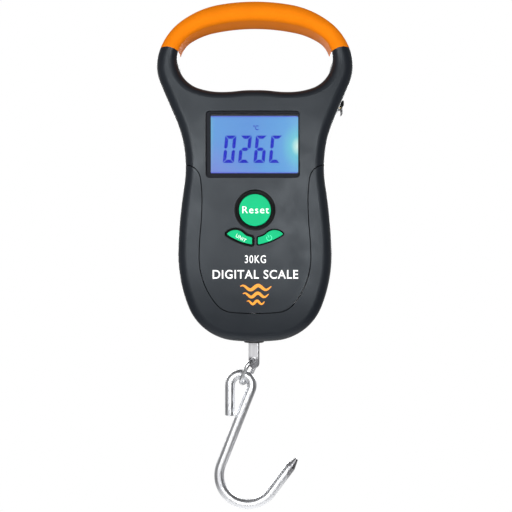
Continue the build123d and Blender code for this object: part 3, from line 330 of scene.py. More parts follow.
def make_floor():
    """A pale round floor below the hook, its edge fading into the backdrop."""
    mesh = bpy.data.meshes.new("floor")
    shape = bmesh.new()
    bmesh.ops.create_circle(shape, cap_ends=True, segments=FLOOR_SIDES, radius=FLOOR_RADIUS)
    shape.to_mesh(mesh)
    shape.free()
    floor = bpy.data.objects.new("floor", mesh)
    floor.location = (0, 0, cad_low.z - FLOOR_DROP)
    scene.collection.objects.link(floor)
    finish = Finish("floor_white", (0.86, 0.86, 0.86, 1), 0.9)
    radius = finish.maths("DIVIDE", finish.length(finish.place), FLOOR_RADIUS)
    fade = finish.ramp(radius, greys([(FLOOR_FADE_START / FLOOR_RADIUS, 1), (FLOOR_FADE_END, 0)]))
    finish.connect(fade, "Alpha")
    finish.glow((1, 1, 1, 1), 0.25)
    mesh.materials.append(finish.material)


SEAM_HALF_WIDTH = 29.0 * MM
SEAM_FOOT_HALF_WIDTH = 20.0 * MM
SEAM_NARROWING = -122.0 * MM
SEAM_TOP = -69.5 * MM
SEAM_BOTTOM = -144.5 * MM
# Painted shade: a wall inside the seam is black where less than the first share of its normal points forward,
# and not at all from the second.
SEAM_STEEP = (0.72, 0.82)
EDGE_START = 0.515
EDGE_END = 0.60
FLOW_SIZE = 14 * MM
SMUDGE_SIZE = 9 * MM


def painted_seam_shade(finish):
    """1 on the steep faces inside the seam of the housing's front, where black is painted as shade, and 0
    elsewhere.
    """
    forward = finish.maths("ABSOLUTE", finish.axes(finish.facing)["Y"])
    x, y, z = finish.axes(finish.place)
    reach = finish.levels(z, SEAM_FOOT_HALF_WIDTH, SEAM_HALF_WIDTH, SEAM_BOTTOM, SEAM_NARROWING)
    seam_shade = finish.levels(forward, 1.0, 0.0, *SEAM_STEEP)
    for operation, value, limit in (
        ("LESS_THAN", finish.maths("ABSOLUTE", x), reach),
        ("LESS_THAN", y, 0.0),
        ("LESS_THAN", z, SEAM_TOP),
        ("GREATER_THAN", z, SEAM_BOTTOM),
    ):
        seam_shade = finish.maths("MULTIPLY", seam_shade, finish.maths(operation, value, limit))
    return seam_shade


def moulded(name, colour, roughness, grain, depth, mottle=0.06, edge_lightening=0.25, seam=False, **sockets):
    """Moulded plastic or rubber: a fine spark-eroded grain, faint flow mottling, convex edges made lighter, and
    with seam painted shade in the seam.
    """
    finish = Finish(name, colour, roughness, **sockets)
    flow = finish.noise(FLOW_SIZE, 3.0)
    speckle = finish.noise(grain * 1.7, 1.0)
    body = finish.mix(finish.levels(flow, 0, 1), scaled(colour, 1 - mottle), scaled(colour, 1 + mottle))
    body = finish.mix(finish.levels(speckle, 0, 0.5), body, scaled(colour, 1 - 2 * mottle))
    # Convex edges are made lighter and a little glossier.
    edges = finish.levels(finish.sharpness(), 0.0, 1.0, EDGE_START, EDGE_END)
    lighter_edges = finish.maths("MULTIPLY", edges, edge_lightening)
    body = finish.mix(lighter_edges, body, scaled(colour, 1.9))
    smudge = finish.levels(finish.noise(SMUDGE_SIZE, 4.0), roughness - 0.05, roughness + 0.06)
    smudge = finish.maths("SUBTRACT", smudge, finish.maths("MULTIPLY", lighter_edges, 0.12))
    # Painted shade: the seam's steep faces turn black and fully rough.
    if seam:
        seam_shade = painted_seam_shade(finish)
        body = finish.mix(seam_shade, body, (0.0, 0.0, 0.0, 1.0))
        smudge = finish.maths("MAXIMUM", smudge, seam_shade)
    finish.connect(body, "Base Color")
    finish.connect(smudge, "Roughness")
    finish.bump(finish.noise(grain, 2.0), depth)
    return finish.material


def metal(name, colour, roughness, grain=0.25 * MM, depth=2e-6, stain=0.12):
    """Bare metal with a fine grain and cloudy stains."""
    finish = Finish(name, colour, roughness, 1.0)
    lines = finish.noise(grain, 3.0)
    tone = finish.mix(finish.levels(lines, 0, 1), scaled(colour, 1 - stain), scaled(colour, 1 + stain / 3))
    cloud = finish.levels(finish.noise(5 * MM, 4.0), 0.0, stain)
    finish.connect(finish.mix(cloud, tone, scaled(colour, 0.55)), "Base Color")
    finish.connect(finish.levels(lines, roughness * 0.65, roughness * 1.5), "Roughness")
    finish.bump(lines, depth)
    return finish.material


def screw_metal():
    """Dull zinc, with painted shade in the drive recess."""
    finish = Finish("zinc_screw", (0.42, 0.42, 0.44, 1), 0.42, 1.0)
    # Painted shade: faces in hollows, found by low pointiness, go near black.
    recess_shade = finish.levels(finish.sharpness(), 1.0, 0.0, 0.42, 0.49)
    body = finish.mix(recess_shade, (0.20, 0.20, 0.21, 1), (0.02, 0.02, 0.02, 1))
    stain = finish.levels(finish.noise(0.8 * MM), 0, 0.3)
    finish.connect(finish.mix(stain, body, (0.11, 0.11, 0.12, 1)), "Base Color")
    finish.connect(finish.levels(finish.noise(0.4 * MM), 0.36, 0.5), "Roughness")
    return finish.material


# The S-hook's line from the CAD: the centres of its two bends, and the limb between them.
HOOK_EYE_X = -7.1 * MM
HOOK_EYE_Z = -180.3 * MM
HOOK_BEND_X = -3.5 * MM
HOOK_BEND_Z = -225.45 * MM
HOOK_LEAN = 0.37
BEND_BLEND = 6 * MM
EYE_BLEND_START = 8 * MM
EYE_BLEND_END = 3 * MM
HOOK_LINE = 1.1 * MM
STEM_LINE = 1.2 * MM
LINE_STRETCH = 0.03
# The ground point starts this far before the tip, and the darkening of the eye ends this far above the stem's
# foot.
GROUND_START = 6.2 * MM
GROUND_END = 5.0 * MM
STEM_EYE_START = 6.5 * MM
STEM_EYE_END = 4.5 * MM


def drawn_hook_steel():
    """Steel whose drawing lines follow the S-hook: round both bends and along the leaning limb."""
    finish = Finish("drawn_hook_steel", (0.86, 0.87, 0.89, 1), 0.2, 1.0)
    x, y, z = finish.axes(finish.place)
    tip_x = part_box("s_hook")[1].x

    def across(centre_x, centre_z, limit):
        """How far a point lies from a bend's centre, or beyond the bend from its middle line."""
        reach = finish.maths(limit, finish.maths("SUBTRACT", z, centre_z), 0.0)
        return finish.length(finish.point(finish.maths("SUBTRACT", x, centre_x), reach, 0.0))

    low = across(HOOK_BEND_X, HOOK_BEND_Z, "MINIMUM")
    high = across(HOOK_EYE_X, HOOK_EYE_Z, "MAXIMUM")
    lean = finish.maths("MULTIPLY_ADD", z, -HOOK_LEAN, x)
    along = finish.maths("MULTIPLY", z, LINE_STRETCH)
    bend, limb, eye = (finish.noise(HOOK_LINE, 1.5, finish.point(u, y, along)) for u in (low, lean, high))
    near_bend = finish.levels(z, 1.0, 0.0, HOOK_BEND_Z, HOOK_BEND_Z + BEND_BLEND)
    near_eye = finish.levels(z, 0.0, 1.0, HOOK_EYE_Z - EYE_BLEND_START, HOOK_EYE_Z - EYE_BLEND_END)
    pattern = finish.mix(near_eye, finish.mix(near_bend, limb, bend), eye)
    tone = finish.mix(finish.levels(pattern, 0, 1, 0.35, 0.65), (0.70, 0.71, 0.74, 1), (0.96, 0.97, 0.99, 1))
    ground = finish.levels(x, 0.0, 1.0, tip_x - GROUND_START, tip_x - GROUND_END)
    grind = finish.levels(finish.noise(0.5 * MM, 2.0), 0, 1)
    cut = finish.mix(grind, (0.16, 0.16, 0.17, 1), (0.62, 0.62, 0.64, 1))
    finish.connect(finish.mix(ground, tone, cut), "Base Color")
    finish.connect(finish.levels(pattern, 0.33, 0.43, 0.35, 0.65), "Roughness")
    finish.bump(pattern, 5e-7)
    return finish.material


def rolled_bar():
    """Steel of the stem: pale on its flat faces, dark on its sideways faces and near the eye at its foot."""
    finish = Finish("rolled_bar", (0.80, 0.80, 0.82, 1), 0.42, 0.6)
    x, y, z = finish.axes(finish.place)
    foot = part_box("hook_stem")[0].z
    streaks = finish.noise(STEM_LINE, 2.0, finish.point(x, y, finish.maths("MULTIPLY", z, LINE_STRETCH)))
    body = finish.mix(finish.levels(streaks, 0, 1), (0.80, 0.80, 0.82, 1), (0.98, 0.98, 1.0, 1))
    side = finish.levels(finish.maths("ABSOLUTE", finish.axes(finish.facing)["X"]), 0.0, 0.8, 0.35, 0.85)
    eye = finish.levels(z, 0.85, 0.0, foot + STEM_EYE_END, foot + STEM_EYE_START)
    # Darkens the faces turned sideways and the eye at the stem's foot.
    finish.connect(finish.mix(finish.maths("MAXIMUM", side, eye), body, (0.10, 0.10, 0.11, 1)), "Base Color")
    finish.connect(finish.levels(streaks, 0.36, 0.48), "Roughness")
    finish.bump(streaks, 1e-6)
    return finish.material


LCD_VIEW_HALF_WIDTH = 21.55 * MM
LCD_VIEW_HALF_HEIGHT = 14.0 * MM
# The liquid crystal's blues from left to right.
LCD_BLUES = (
    (0.0, (120, 195, 228)), (0.05, (103, 165, 228)), (0.45, (100, 158, 226)),
    (0.85, (104, 172, 230)), (1.0, (116, 186, 232)),
)
# The lamp's centre is this far below the display's middle, and its two glows reach out between these radii.
LAMP_DROP = 0.8 * MM
LAMP_STRETCH = 0.72
LAMP_HALO = (1.5 * MM, 8.5 * MM)
LAMP_CORE = (0.4 * MM, 3.5 * MM)


def lit_display():
    """The back-lit liquid crystal: blue, paler at the left, violet low down, a lamp at the right edge."""
    finish = Finish("lit_display", (0.01, 0.012, 0.02, 1), 0.35, Specular_IOR_Level=0.05)
    middle = sum(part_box("lcd_panel"), Vector()) / 2
    right = middle.x + LCD_VIEW_HALF_WIDTH
    x, _, z = finish.axes(finish.place)
    across = finish.levels(x, 0.0, 1.0, middle.x - LCD_VIEW_HALF_WIDTH, right)
    up = finish.levels(z, 0.0, 1.0, middle.z - LCD_VIEW_HALF_HEIGHT, middle.z + LCD_VIEW_HALF_HEIGHT)
    body = finish.ramp(across, [(place, srgb(*colour)) for place, colour in LCD_BLUES])
    down, leftward = (finish.maths("SUBTRACT", 1.0, share) for share in (up, across))
    low_left = finish.maths("MULTIPLY", down, leftward)
    body = finish.mix(finish.levels(low_left, 0.0, 0.75, 0.35, 1.0), body, srgb(138, 140, 226))
    from_lamp = finish.distance(right, middle.z - LAMP_DROP, LAMP_STRETCH)
    body = finish.mix(finish.levels(from_lamp, 0.85, 0.0, *LAMP_HALO), body, srgb(120, 230, 220))
    body = finish.mix(finish.levels(from_lamp, 1.0, 0.0, *LAMP_CORE), body, srgb(225, 255, 240))
    rim = finish.maths("ABSOLUTE", finish.maths("SUBTRACT", up, 0.5))
    body = finish.mix(finish.levels(rim, 0.0, 0.8, 0.472, 0.485), body, srgb(92, 96, 226))
    cells = finish.levels(finish.noise(0.5 * MM, 2.0), 0.0, 0.12)
    finish.glow(finish.mix(cells, body, srgb(70, 120, 210)), 0.90)
    finish.connect(finish.levels(finish.noise(3 * MM), 0.3, 0.42), "Roughness")
    return finish.material


def clear_lens():
    """Clear acrylic, faintly hazed with rubbing marks. Its low index stands for an anti-glare coat."""
    finish = Finish("clear_lens", (0.97, 0.98, 1.0, 1), 0.04, IOR=1.2, Transmission_Weight=1.0)
    haze = finish.noise(4 * MM, 4.0)
    finish.connect(finish.levels(haze, 0.015, 0.05), "Roughness")
    finish.bump(haze, 1.5e-6)
    return finish.material


def display_ink():
    """The dark blue of a switched-on segment, a little uneven."""
    finish = Finish("display_ink", srgb(10, 12, 60), 0.4, Specular_IOR_Level=0.05)
    tone = finish.levels(finish.noise(1.2 * MM, 2.0), 0.0, 1.0)
    finish.glow(finish.mix(tone, srgb(18, 30, 190), srgb(28, 44, 206)), 0.85)
    return finish.material


KEY_FACE_R = 8.2 * MM
KEY_RIM = 0.12 * MM
KEY_FACE_DEPTH = 0.7 * MM
ROUND_KEY_REACH = 11 * MM


def two_shot_key():
    """A key moulded twice: a green face, and black sides that show as an outline round it."""
    green = srgb(4, 176, 116)
    finish = Finish("key_green", green, 0.36, Specular_IOR_Level=0.08)
    low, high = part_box("reset_button")
    middle = (low + high) / 2
    radius = finish.distance(middle.x, middle.z)
    rim = finish.levels(radius, 0.0, 1.0, KEY_FACE_R, KEY_FACE_R + KEY_RIM)
    rim = finish.maths("MULTIPLY", rim, finish.maths("LESS_THAN", radius, ROUND_KEY_REACH))
    forward = finish.maths("MULTIPLY", finish.axes(finish.facing)["Y"], -1.0)
    side = finish.levels(forward, 1.0, 0.0, 0.78, 0.86)
    below_face = finish.maths("GREATER_THAN", finish.axes(finish.place)["Y"], low.y + KEY_FACE_DEPTH)
    black = finish.maths("MAXIMUM", finish.maths("MAXIMUM", side, below_face), rim)
    flow = finish.levels(finish.noise(8 * MM, 3.0), 0, 1)
    face = finish.mix(flow, scaled(green, 0.95), scaled(green, 1.06))
    finish.connect(finish.mix(black, face, srgb(9, 16, 15)), "Base Color")
    finish.connect(finish.levels(finish.noise(6 * MM, 4.0), 0.32, 0.42), "Roughness")
    finish.bump(finish.noise(0.35 * MM, 2.0), 5e-6)
    return finish.material


def printed(name, colour, glow=0.0, **sockets):
    """Pad-printed ink with slightly uneven cover; where glow is given, the ink also shines, which is painted
    light.
    """
    finish = Finish(name, colour, 0.45, **sockets)
    cover = finish.levels(finish.noise(0.6 * MM, 3.0), 0.0, 0.25)
    finish.connect(finish.mix(cover, colour, scaled(colour, 0.8)), "Base Color")
    finish.connect(finish.levels(finish.noise(0.25 * MM), 0.38, 0.55), "Roughness")
    if glow:
        finish.glow(colour, glow)
    return finish.material


COPPER_START = 0.45
STEEL_START = 0.955


def cell_wrap():
    """A battery's printed sleeve: dark body, copper band at the positive end, bare steel ends."""
    finish = Finish("cell_wrap", srgb(25, 28, 34), 0.3, Coat_Weight=0.5)
    upper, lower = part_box("battery_upper"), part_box("battery_lower")
    half = (upper[1].x - upper[0].x) / 2
    between = (upper[0].z + lower[1].z) / 2
    x, _, z = finish.axes(finish.place)
    is_upper = finish.maths("GREATER_THAN", z, between)
    way = finish.maths("SUBTRACT", 1.0, finish.maths("MULTIPLY", is_upper, 2.0))
    along = finish.maths("DIVIDE", finish.maths("MULTIPLY", x, way), half)
    copper = finish.maths("GREATER_THAN", along, COPPER_START)
    steel = finish.maths("GREATER_THAN", finish.maths("ABSOLUTE", along), STEEL_START)
    scuff = finish.levels(finish.noise(1.5 * MM, 4.0), 0.0, 0.3)
    body = finish.mix(copper, srgb(24, 28, 36), srgb(196, 120, 62))
    body = finish.mix(steel, body, srgb(190, 190, 192))
    finish.connect(finish.mix(scuff, body, srgb(120, 118, 116)), "Base Color")
    finish.connect(finish.maths("MAXIMUM", steel, finish.maths("MULTIPLY", copper, 0.6)), "Metallic")
    finish.connect(finish.levels(finish.noise(0.4 * MM, 2.0), 0.2, 0.36), "Roughness")
    return finish.material


def circuit_board():
    """Green solder mask over copper tracks."""
    finish = Finish("circuit_board", srgb(18, 84, 48), 0.3, Coat_Weight=0.4)
    tracks = finish.add("ShaderNodeTexWave", wave_type="BANDS", bands_direction="DIAGONAL")
    tracks.inputs["Scale"].default_value = 220
    tracks.inputs["Distortion"].default_value = 6.0
    tracks.inputs["Detail Scale"].default_value = 0.6
    finish.feed(tracks.inputs["Vector"], finish.place)
    lines = finish.levels(tracks.outputs["Fac"], 0.0, 1.0, 0.55, 0.62)
    finish.connect(finish.mix(lines, srgb(14, 70, 42), srgb(40, 122, 66)), "Base Color")
    finish.connect(finish.levels(finish.noise(1 * MM), 0.25, 0.4), "Roughness")
    finish.bump(lines, 2e-5)
    return finish.material


def make_finishes():
    """One material for each of the record's slots."""
    return {
        "housing_grey": moulded(
            "housing_grey", srgb(24, 27, 32), 0.38, 0.30 * MM, 4e-6, edge_lightening=0.05, seam=True,
            Specular_IOR_Level=0.36, Specular_Tint=(0.86, 0.94, 1.0, 1.0),
        ),
        "grip_orange": moulded(
            "grip_orange", srgb(218, 117, 14), 0.58, 0.42 * MM, 1e-5, mottle=0.04, edge_lightening=0.05,
            Specular_IOR_Level=0.01,
        ),
        "zinc_screw": screw_metal(),
        "clear_lens": clear_lens(),
        "black_plastic": moulded("black_plastic", srgb(24, 25, 28), 0.42, 0.25 * MM, 6e-6, edge_lightening=0.15),
        "lcd_glass": lit_display(),
        "light_guide": moulded("light_guide", srgb(226, 232, 238), 0.3, 0.5 * MM, 5e-6),
        "black_rubber": moulded("black_rubber", srgb(20, 20, 22), 0.7, 0.3 * MM, 1e-5),
        "board_green": circuit_board(),
        "chip_black": moulded("chip_black", srgb(30, 30, 33), 0.5, 0.2 * MM, 5e-6),
        "key_green": two_shot_key(),
        "nickel_plate": metal("nickel_plate", (0.66, 0.62, 0.54, 1), 0.25),
        "cell_wrap": cell_wrap(),
        "sheet_steel": metal("sheet_steel", (0.50, 0.51, 0.53, 1), 0.35),
        "beam_aluminium": metal("beam_aluminium", (0.78, 0.78, 0.79, 1), 0.32),
        "gauge_film": moulded("gauge_film", srgb(196, 142, 60), 0.3, 0.3 * MM, 4e-6),
        "cable_sheath": moulded("cable_sheath", srgb(200, 40, 36), 0.45, 0.4 * MM, 5e-6),
        "bright_steel": metal(
            "bright_steel", (0.86, 0.87, 0.89, 1), 0.26, grain=1.2 * MM, depth=5e-7, stain=0.08
        ),
        "tape_yellow": moulded("tape_yellow", srgb(240, 205, 40), 0.4, 0.5 * MM, 4e-6, mottle=0.04),
    }


def dress(node, material):
    """Gives a CAD node a material on its object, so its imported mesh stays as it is."""
    place = node.material_slots[0]
    place.link = "OBJECT"
    place.material = material


# --------------------------------------------------------------- making pieces
INK_LIFT = 0.03 * MM
INK_SINK = 0.05 * MM


class Skin:
    """The front of a CAD node, met along Y."""

    def __init__(self, name):
        shape = bmesh.new()
        shape.from_mesh(nodes[name].data)
        self.tree = BVHTree.FromBMesh(shape)
        shape.free()

    def depth(self, x, z):
        """Y of the front surface at (x, z)."""
        return self.tree.ray_cast(Vector((x, -1, z)), Vector((0, 1, 0)))[0].y


def add_piece(name, shape, material, body, slot):
    """Makes a bmesh into a piece of the object that moves with a CAD body."""
    bmesh.ops.recalc_face_normals(shape, faces=shape.faces)
    mesh = bpy.data.meshes.new(name)
    shape.to_mesh(mesh)
    shape.free()
    mesh.materials.append(material)
    piece = bpy.data.objects.new(name, mesh)
    scene.collection.objects.link(piece)
    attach(piece, body)
    return piece


def prism(shape, outline, front, back):
    """Adds a thin closed plate with the outline's (x, z) points, from y=front to y=back."""
    near = [shape.verts.new((x, front, z)) for x, z in outline]
    far = [shape.verts.new((x, back, z)) for x, z in outline]
    shape.faces.new(near)
    shape.faces.new(far[::-1])
    for i in range(len(outline)):
        j = (i + 1) % len(outline)
        shape.faces.new((near[j], near[i], far[i], far[j]))


def text_shape(words, width, height, weight, spacing):
    """The words as a closed flat mesh of width by height, centred, with z 1 in front and -1 behind."""
    curve = bpy.data.curves.new("words", "FONT")
    curve.body = words
    curve.offset = weight
    curve.space_character = spacing
    curve.extrude = 1.0
    curve.resolution_u = 8
    holder = bpy.data.objects.new("words", curve)
    mesh = bpy.data.meshes.new_from_object(holder)
    shape = bmesh.new()
    shape.from_mesh(mesh)
    bmesh.ops.remove_doubles(shape, verts=shape.verts, dist=1e-5)
    xs = [v.co.x for v in shape.verts]
    ys = [v.co.y for v in shape.verts]
    for v in shape.verts:
        v.co.x = (v.co.x - (min(xs) + max(xs)) / 2) * width / (max(xs) - min(xs))
        v.co.y = (v.co.y - (min(ys) + max(ys)) / 2) * height / (max(ys) - min(ys))
    bpy.data.objects.remove(holder)
    bpy.data.curves.remove(curve)
    bpy.data.meshes.remove(mesh)
    return shape


def lay_on(shape, skin, centre, turn=0.0):
    """Turns a flat shape by turn degrees and lays it on a skin, centred at (x, z)."""
    angle = math.radians(turn)
    for v in shape.verts:
        x = v.co.x * math.cos(angle) - v.co.y * math.sin(angle) + centre[0]
        z = v.co.x * math.sin(angle) + v.co.y * math.cos(angle) + centre[1]
        surface = skin.depth(x, z)
        v.co = (x, surface - INK_LIFT if v.co.z > 0 else surface + INK_SINK, z)
    return shape


def ribbon(shape, points, widths):
    """Adds a flat closed band along points (x, y), as wide as widths say, with z 1 in front and -1 behind."""
    rows = []
    for i, (point, width) in enumerate(zip(points, widths)):
        before = Vector(points[max(i - 1, 0)])
        after = Vector(points[min(i + 1, len(points) - 1)])
        along = (after - before).normalized()
        out = Vector((-along.y, along.x)) * width / 2
        middle = Vector(point)
        corners = [(middle + out, 1), (middle - out, 1), (middle - out, -1), (middle + out, -1)]
        rows.append([shape.verts.new((p.x, p.y, z)) for p, z in corners])
    for a, b in zip(rows, rows[1:]):
        for i in range(4):
            shape.faces.new((a[i], a[(i + 1) % 4], b[(i + 1) % 4], b[i]))
    shape.faces.new(rows[0][::-1])
    shape.faces.new(rows[-1])


# --------------------------------------------------------------------- display
DIGIT_HEIGHT = 13.4 * MM
DIGIT_WIDTH = 5.5 * MM
DIGIT_PITCH = 7.5 * MM
DIGIT_LEAN = 0.097
STROKE = 1.62 * MM
STROKE_GAP = 0.22 * MM
DIGITS_LEFT = -15.35 * MM
DIGITS_BOTTOM = -8.95 * MM
SEGMENTS_OF = {"0": "abcdef", "2": "abged", "6": "afgedc", "C": "afed"}
READING = "026C"
UNIT_SIGN_SIZE = (2.6 * MM, 2.5 * MM)
UNIT_SIGN_X = 0.9 * MM
UNIT_SIGN_Z = 8.3 * MM


def segment_outline(name):
    """Corners of one segment of an upright digit, mitred where segments meet."""
    # Width, height, thickness, gap and mid-height.
    w, h, t, g = DIGIT_WIDTH, DIGIT_HEIGHT, STROKE, STROKE_GAP
    m = h / 2
    top = [(g, h), (w - g, h), (w - t - g, h - t), (t + g, h - t)]
    upper_left = [(0, h - g), (t, h - t - g), (t, m + t / 2 + g), (t / 2, m + g), (0, m + t / 2)]
    middle = [
        (t / 2 + g, m), (t + g, m + t / 2), (w - t - g, m + t / 2),
        (w - t / 2 - g, m), (w - t - g, m - t / 2), (t + g, m - t / 2),
    ]

    def across(outline):
        return [(w - x, z) for x, z in outline]

    def down(outline):
        return [(x, h - z) for x, z in outline]

    return {
        "a": top,
        "b": across(upper_left),
        "c": across(down(upper_left)),
        "d": down(top),
        "e": down(upper_left),
        "f": upper_left,
        "g": middle,
    }[name]


# The border's reach on each side; at the left and bottom it also stands for painted shade of the recess.
MASK_LEFT = 2.3 * MM
MASK_RIGHT = 0.22 * MM
MASK_TOP = 1.1 * MM
MASK_BOTTOM = 2.3 * MM
MASK_INSET = 0.15 * MM


def make_lens_border_and_shade():
    """The black border on the front of the lens, widest at the left and bottom: partly a printed mask, partly
    painted shade of the window's recess.
    """
    low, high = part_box("window_lens")

    def inside(left, right, bottom, top):
        """The lens's outline, drawn in by so much on each side."""
        x1, x2 = low.x + left, high.x - right
        z1, z2 = low.z + bottom, high.z - top
        return [(x1, z1), (x2, z1), (x2, z2), (x1, z2)]

    outer = inside(MASK_INSET, MASK_INSET, MASK_INSET, MASK_INSET)
    inner = inside(MASK_LEFT, MASK_RIGHT, MASK_BOTTOM, MASK_TOP)
    shape = bmesh.new()
    front = low.y - INK_LIFT
    back = low.y - INK_LIFT / 3
    rings = [[shape.verts.new((x, y, z)) for x, z in ring] for ring in (outer, inner) for y in (front, back)]
    for near, far in ((0, 1), (2, 0), (1, 3), (3, 2)):
        for i in range(4):
            j = (i + 1) % 4
            shape.faces.new((rings[near][i], rings[near][j], rings[far][j], rings[far][i]))
    ink = printed("ink_border_and_shade", srgb(22, 24, 32), Specular_IOR_Level=0.1)
    add_piece("lens_border_and_shade", shape, ink, "housing", "clear_lens")


def make_digits():
    """The reading on the display, and the small unit sign above it."""
    low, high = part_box("lcd_panel")
    middle = (low + high) / 2
    ink = display_ink()
    for place, figure in enumerate(READING):
        shape = bmesh.new()
        left = middle.x + DIGITS_LEFT + place * DIGIT_PITCH
        bottom = middle.z + DIGITS_BOTTOM
        for name in SEGMENTS_OF[figure]:
            outline = [(left + x + z * DIGIT_LEAN, bottom + z) for x, z in segment_outline(name)]
            prism(shape, outline, low.y - INK_LIFT, low.y + INK_SINK)
        add_piece(f"lcd_digit_{place + 1}", shape, ink, "housing", "lcd_glass")
    sign = text_shape("°C", *UNIT_SIGN_SIZE, weight=0.015, spacing=1.0)
    lay_on(sign, Skin("lcd_panel"), (middle.x + UNIT_SIGN_X, middle.z + UNIT_SIGN_Z))
    add_piece("lcd_unit_sign", sign, ink, "housing", "lcd_glass")


# --------------------------------------------------------------------- legends
# For each word, its piece's name, width and height in mm, weight and spacing, then the node, centre in mm and
# turn in degrees where it is printed.
KEY_WORDS = (
    ("legend_reset", "Reset", 12.9, 3.4, 0.0, 1.16, "reset_button", (0.35, -93.1), 0),
    ("legend_unit", "UNIT", 5.4, 1.7, 0.0, 1.1, "unit_button", (-6.75, -106.75), -31),
)
COVER_WORDS = (
    ("legend_capacity", "30KG", 10.2, 3.8, 0.006, 1.15, "front_cover", (0.2, -117.0), 0),
    ("legend_title", "DIGITAL SCALE", 41.5, 4.3, 0.012, 1.1, "front_cover", (0.2, -124.35), 0),
)
# The body and slot of each node that is printed on.
PRINTED_NODES = {
    "reset_button": ("reset_key", "key_green"),
    "unit_button": ("unit_key", "key_green"),
    "power_button": ("power_key", "key_green"),
    "front_cover": ("housing", "housing_grey"),
}
POWER_CENTRE = (6.9 * MM, -106.7 * MM)
POWER_TURN = 25
POWER_RING_R = 1.25 * MM
POWER_STROKE = 0.3 * MM
POWER_STEPS = 28
# The ring starts this far round, in degrees, and runs on for this many.
POWER_START = 130
POWER_SWEEP = 280
POWER_BAR = (0.2 * MM, 0.8 * MM, 1.6 * MM)
WAVES_CENTRE = (0.4 * MM, -134.4 * MM)
WAVE_STEPS = 48
WAVE_PITCH = 3.6
WAVE_SWING = 1.05
WAVE_PHASE = 0.6
WAVE_TIP = 0.35
WAVE_BELLY = 1.35
# Each ripple's length in mm and how strongly it swells.
WAVES = ((15.0, 1.0), (12.6, 0.9), (8.6, 0.75))


def make_waves():
    """Three ripples one above another, each thinning out towards its ends."""
    shape = bmesh.new()
    for row, (length, swell) in enumerate(WAVES):
        points = []
        widths = []
        for i in range(WAVE_STEPS + 1):
            share = i / WAVE_STEPS
            x = (share - 0.5) * length * MM
            swing = WAVE_SWING * swell * math.sin(share * 4 * math.pi + WAVE_PHASE)
            points.append((x, (swing - row * WAVE_PITCH + WAVE_PITCH) * MM))
            widths.append((WAVE_TIP + WAVE_BELLY * math.sin(math.pi * share) ** 0.8) * swell * MM)
        ribbon(shape, points, widths)
    return shape


def make_power_sign():
    """A ring open at the top with a short bar in the gap."""
    shape = bmesh.new()
    angles = [math.radians(POWER_START + i * POWER_SWEEP / POWER_STEPS) for i in range(POWER_STEPS + 1)]
    ring = [(POWER_RING_R * math.cos(a), POWER_RING_R * math.sin(a)) for a in angles]
    ribbon(shape, ring, [POWER_STROKE] * len(ring))
    ribbon(shape, [(0, y) for y in POWER_BAR], [POWER_STROKE] * len(POWER_BAR))
    return shape


def print_on(node, name, shape, ink, centre, turn=0):
    """Prints a flat shape on a node, as a piece that moves with it."""
    add_piece(name, lay_on(shape, Skin(node), centre, turn), ink, *PRINTED_NODES[node])


def print_words(ink, words):
    """Prints a table of words, each as a piece of its own."""
    for name, text, width, height, weight, spacing, node, (x, z), turn in words:
        shape = text_shape(text, width * MM, height * MM, weight, spacing)
        print_on(node, name, shape, ink, (x * MM, z * MM), turn)


def make_legends():
    """Everything printed on the front and on the keys."""
    # The white and orange inks shine faintly: painted light that brightens the print.
    white = printed("ink_white", (0.92, 0.92, 0.92, 1), glow=0.12)
    pale_green = printed("ink_pale_green", srgb(70, 232, 172))
    orange = printed("ink_orange", srgb(240, 150, 24), glow=0.05)
    print_words(white, KEY_WORDS)
    print_on("power_button", "legend_power", make_power_sign(), pale_green, POWER_CENTRE, POWER_TURN)
    print_words(white, COVER_WORDS)
    print_on("front_cover", "legend_waves", make_waves(), orange, WAVES_CENTRE)


# ------------------------------------------------------------- wound and ruled
SPRING_TURNS = 4.5
SPRING_STEPS = 150
SPRING_WIRE = 0.28 * MM
SPRING_BASE_R = 3.25 * MM
SPRING_TIP_R = 2.05 * MM
TUBE_SIDES = 10
RULE_HALF_WIDTH = 0.08 * MM
RULE_HALF_DEPTH = 0.02 * MM
RULE_MARGIN = 0.2 * MM
# Rule lengths by how many millimetres they come after, the longest first.
RULES = ((10, 3.0 * MM), (5, 2.2 * MM), (1, 1.4 * MM))


def add_tube(shape, points, radius):
    """Adds a closed round wire through the points."""
    rings = []
    normal = Vector((0, 0, 1))
    for i, point in enumerate(points):
        along = (points[min(i + 1, len(points) - 1)] - points[max(i - 1, 0)]).normalized()
        normal = (normal - along * normal.dot(along)).normalized()
        other = along.cross(normal)
        turns = [2 * math.pi * k / TUBE_SIDES for k in range(TUBE_SIDES)]
        spokes = [normal * math.cos(turn) + other * math.sin(turn) for turn in turns]
        rings.append([shape.verts.new(point + spoke * radius) for spoke in spokes])
    for a, b in zip(rings, rings[1:]):
        for k in range(TUBE_SIDES):
            shape.faces.new((a[k], a[(k + 1) % TUBE_SIDES], b[(k + 1) % TUBE_SIDES], b[k]))
    shape.faces.new(rings[0][::-1])
    shape.faces.new(rings[-1])


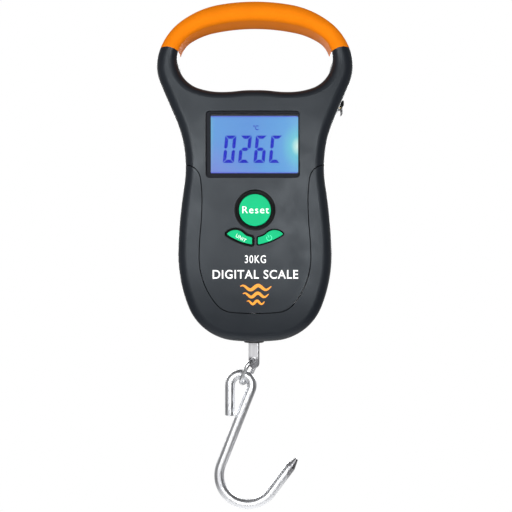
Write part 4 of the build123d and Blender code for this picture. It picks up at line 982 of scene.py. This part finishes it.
def make_springs(material):
    """The two conical battery springs, as wound wire in place of the CAD's plain cones."""
    low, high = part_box("contact_springs")
    shape = bmesh.new()
    for side, cell in ((-1, "battery_lower"), (1, "battery_upper")):
        cell_low, cell_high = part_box(cell)
        centre = (cell_low + cell_high) / 2
        base = high.x - SPRING_WIRE if side > 0 else -low.x - SPRING_WIRE
        tip = (cell_high.x if side > 0 else -cell_low.x) + SPRING_WIRE
        points = []
        for i in range(SPRING_STEPS + 1):
            share = i / SPRING_STEPS
            radius = SPRING_BASE_R + (SPRING_TIP_R - SPRING_BASE_R) * share
            angle = 2 * math.pi * SPRING_TURNS * share
            x = side * (base + (tip - base) * share)
            points.append(Vector((x, centre.y + radius * math.cos(angle), centre.z + radius * math.sin(angle))))
        add_tube(shape, points, SPRING_WIRE)
    piece = add_piece("wound_springs", shape, material, "housing", "nickel_plate")
    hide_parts("contact_springs")
    for face in piece.data.polygons:
        face.use_smooth = True


def make_tape_marks():
    """Millimetre rules printed along the top of the tape, longer at each fifth and tenth."""
    ink = printed("ink_black", (0.02, 0.02, 0.02, 1))
    low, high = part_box("tape_blade")
    shape = bmesh.new()
    inner_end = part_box("tape_mouth")[0].x
    count = int((high.x - inner_end) / MM)
    near = low.y + RULE_MARGIN
    for i in range(1, count):
        x = high.x - i * MM
        reach = next(length for every, length in RULES if i % every == 0)
        left, right, far = x - RULE_HALF_WIDTH, x + RULE_HALF_WIDTH, near + reach
        corners = [(left, near), (right, near), (right, far), (left, far)]
        top = [shape.verts.new((a, b, high.z + RULE_HALF_DEPTH)) for a, b in corners]
        foot = [shape.verts.new((a, b, high.z - RULE_HALF_DEPTH)) for a, b in corners]
        shape.faces.new(top)
        shape.faces.new(foot[::-1])
        for k in range(4):
            shape.faces.new((top[k], foot[k], foot[(k + 1) % 4], top[(k + 1) % 4]))
    add_piece("tape_rules", shape, ink, "tape", "tape_yellow")


# ------------------------------------------------------------------------ scene
make_camera()
make_lights()
make_world()
make_floor()
scene.view_settings.view_transform = "Standard"

finishes = make_finishes()
for node in nodes.values():
    dress(node, finishes[node.data.materials[0].name.split(".")[0]])
dress(nodes["s_hook"], drawn_hook_steel())
dress(nodes["hook_stem"], rolled_bar())
dress(nodes["tape_end_hook"], metal("dull_nickel", (0.20, 0.20, 0.21, 1), 0.5, grain=0.8 * MM))
matt_black = moulded("matt_black", srgb(16, 17, 19), 0.6, 0.25 * MM, 6e-6, edge_lightening=0.05, Specular_IOR_Level=0.1)
dress(nodes["tape_mouth"], matt_black)
nodes["window_lens"].visible_shadow = False

make_lens_border_and_shade()
make_digits()
make_legends()
make_springs(finishes["nickel_plate"])
make_tape_marks()
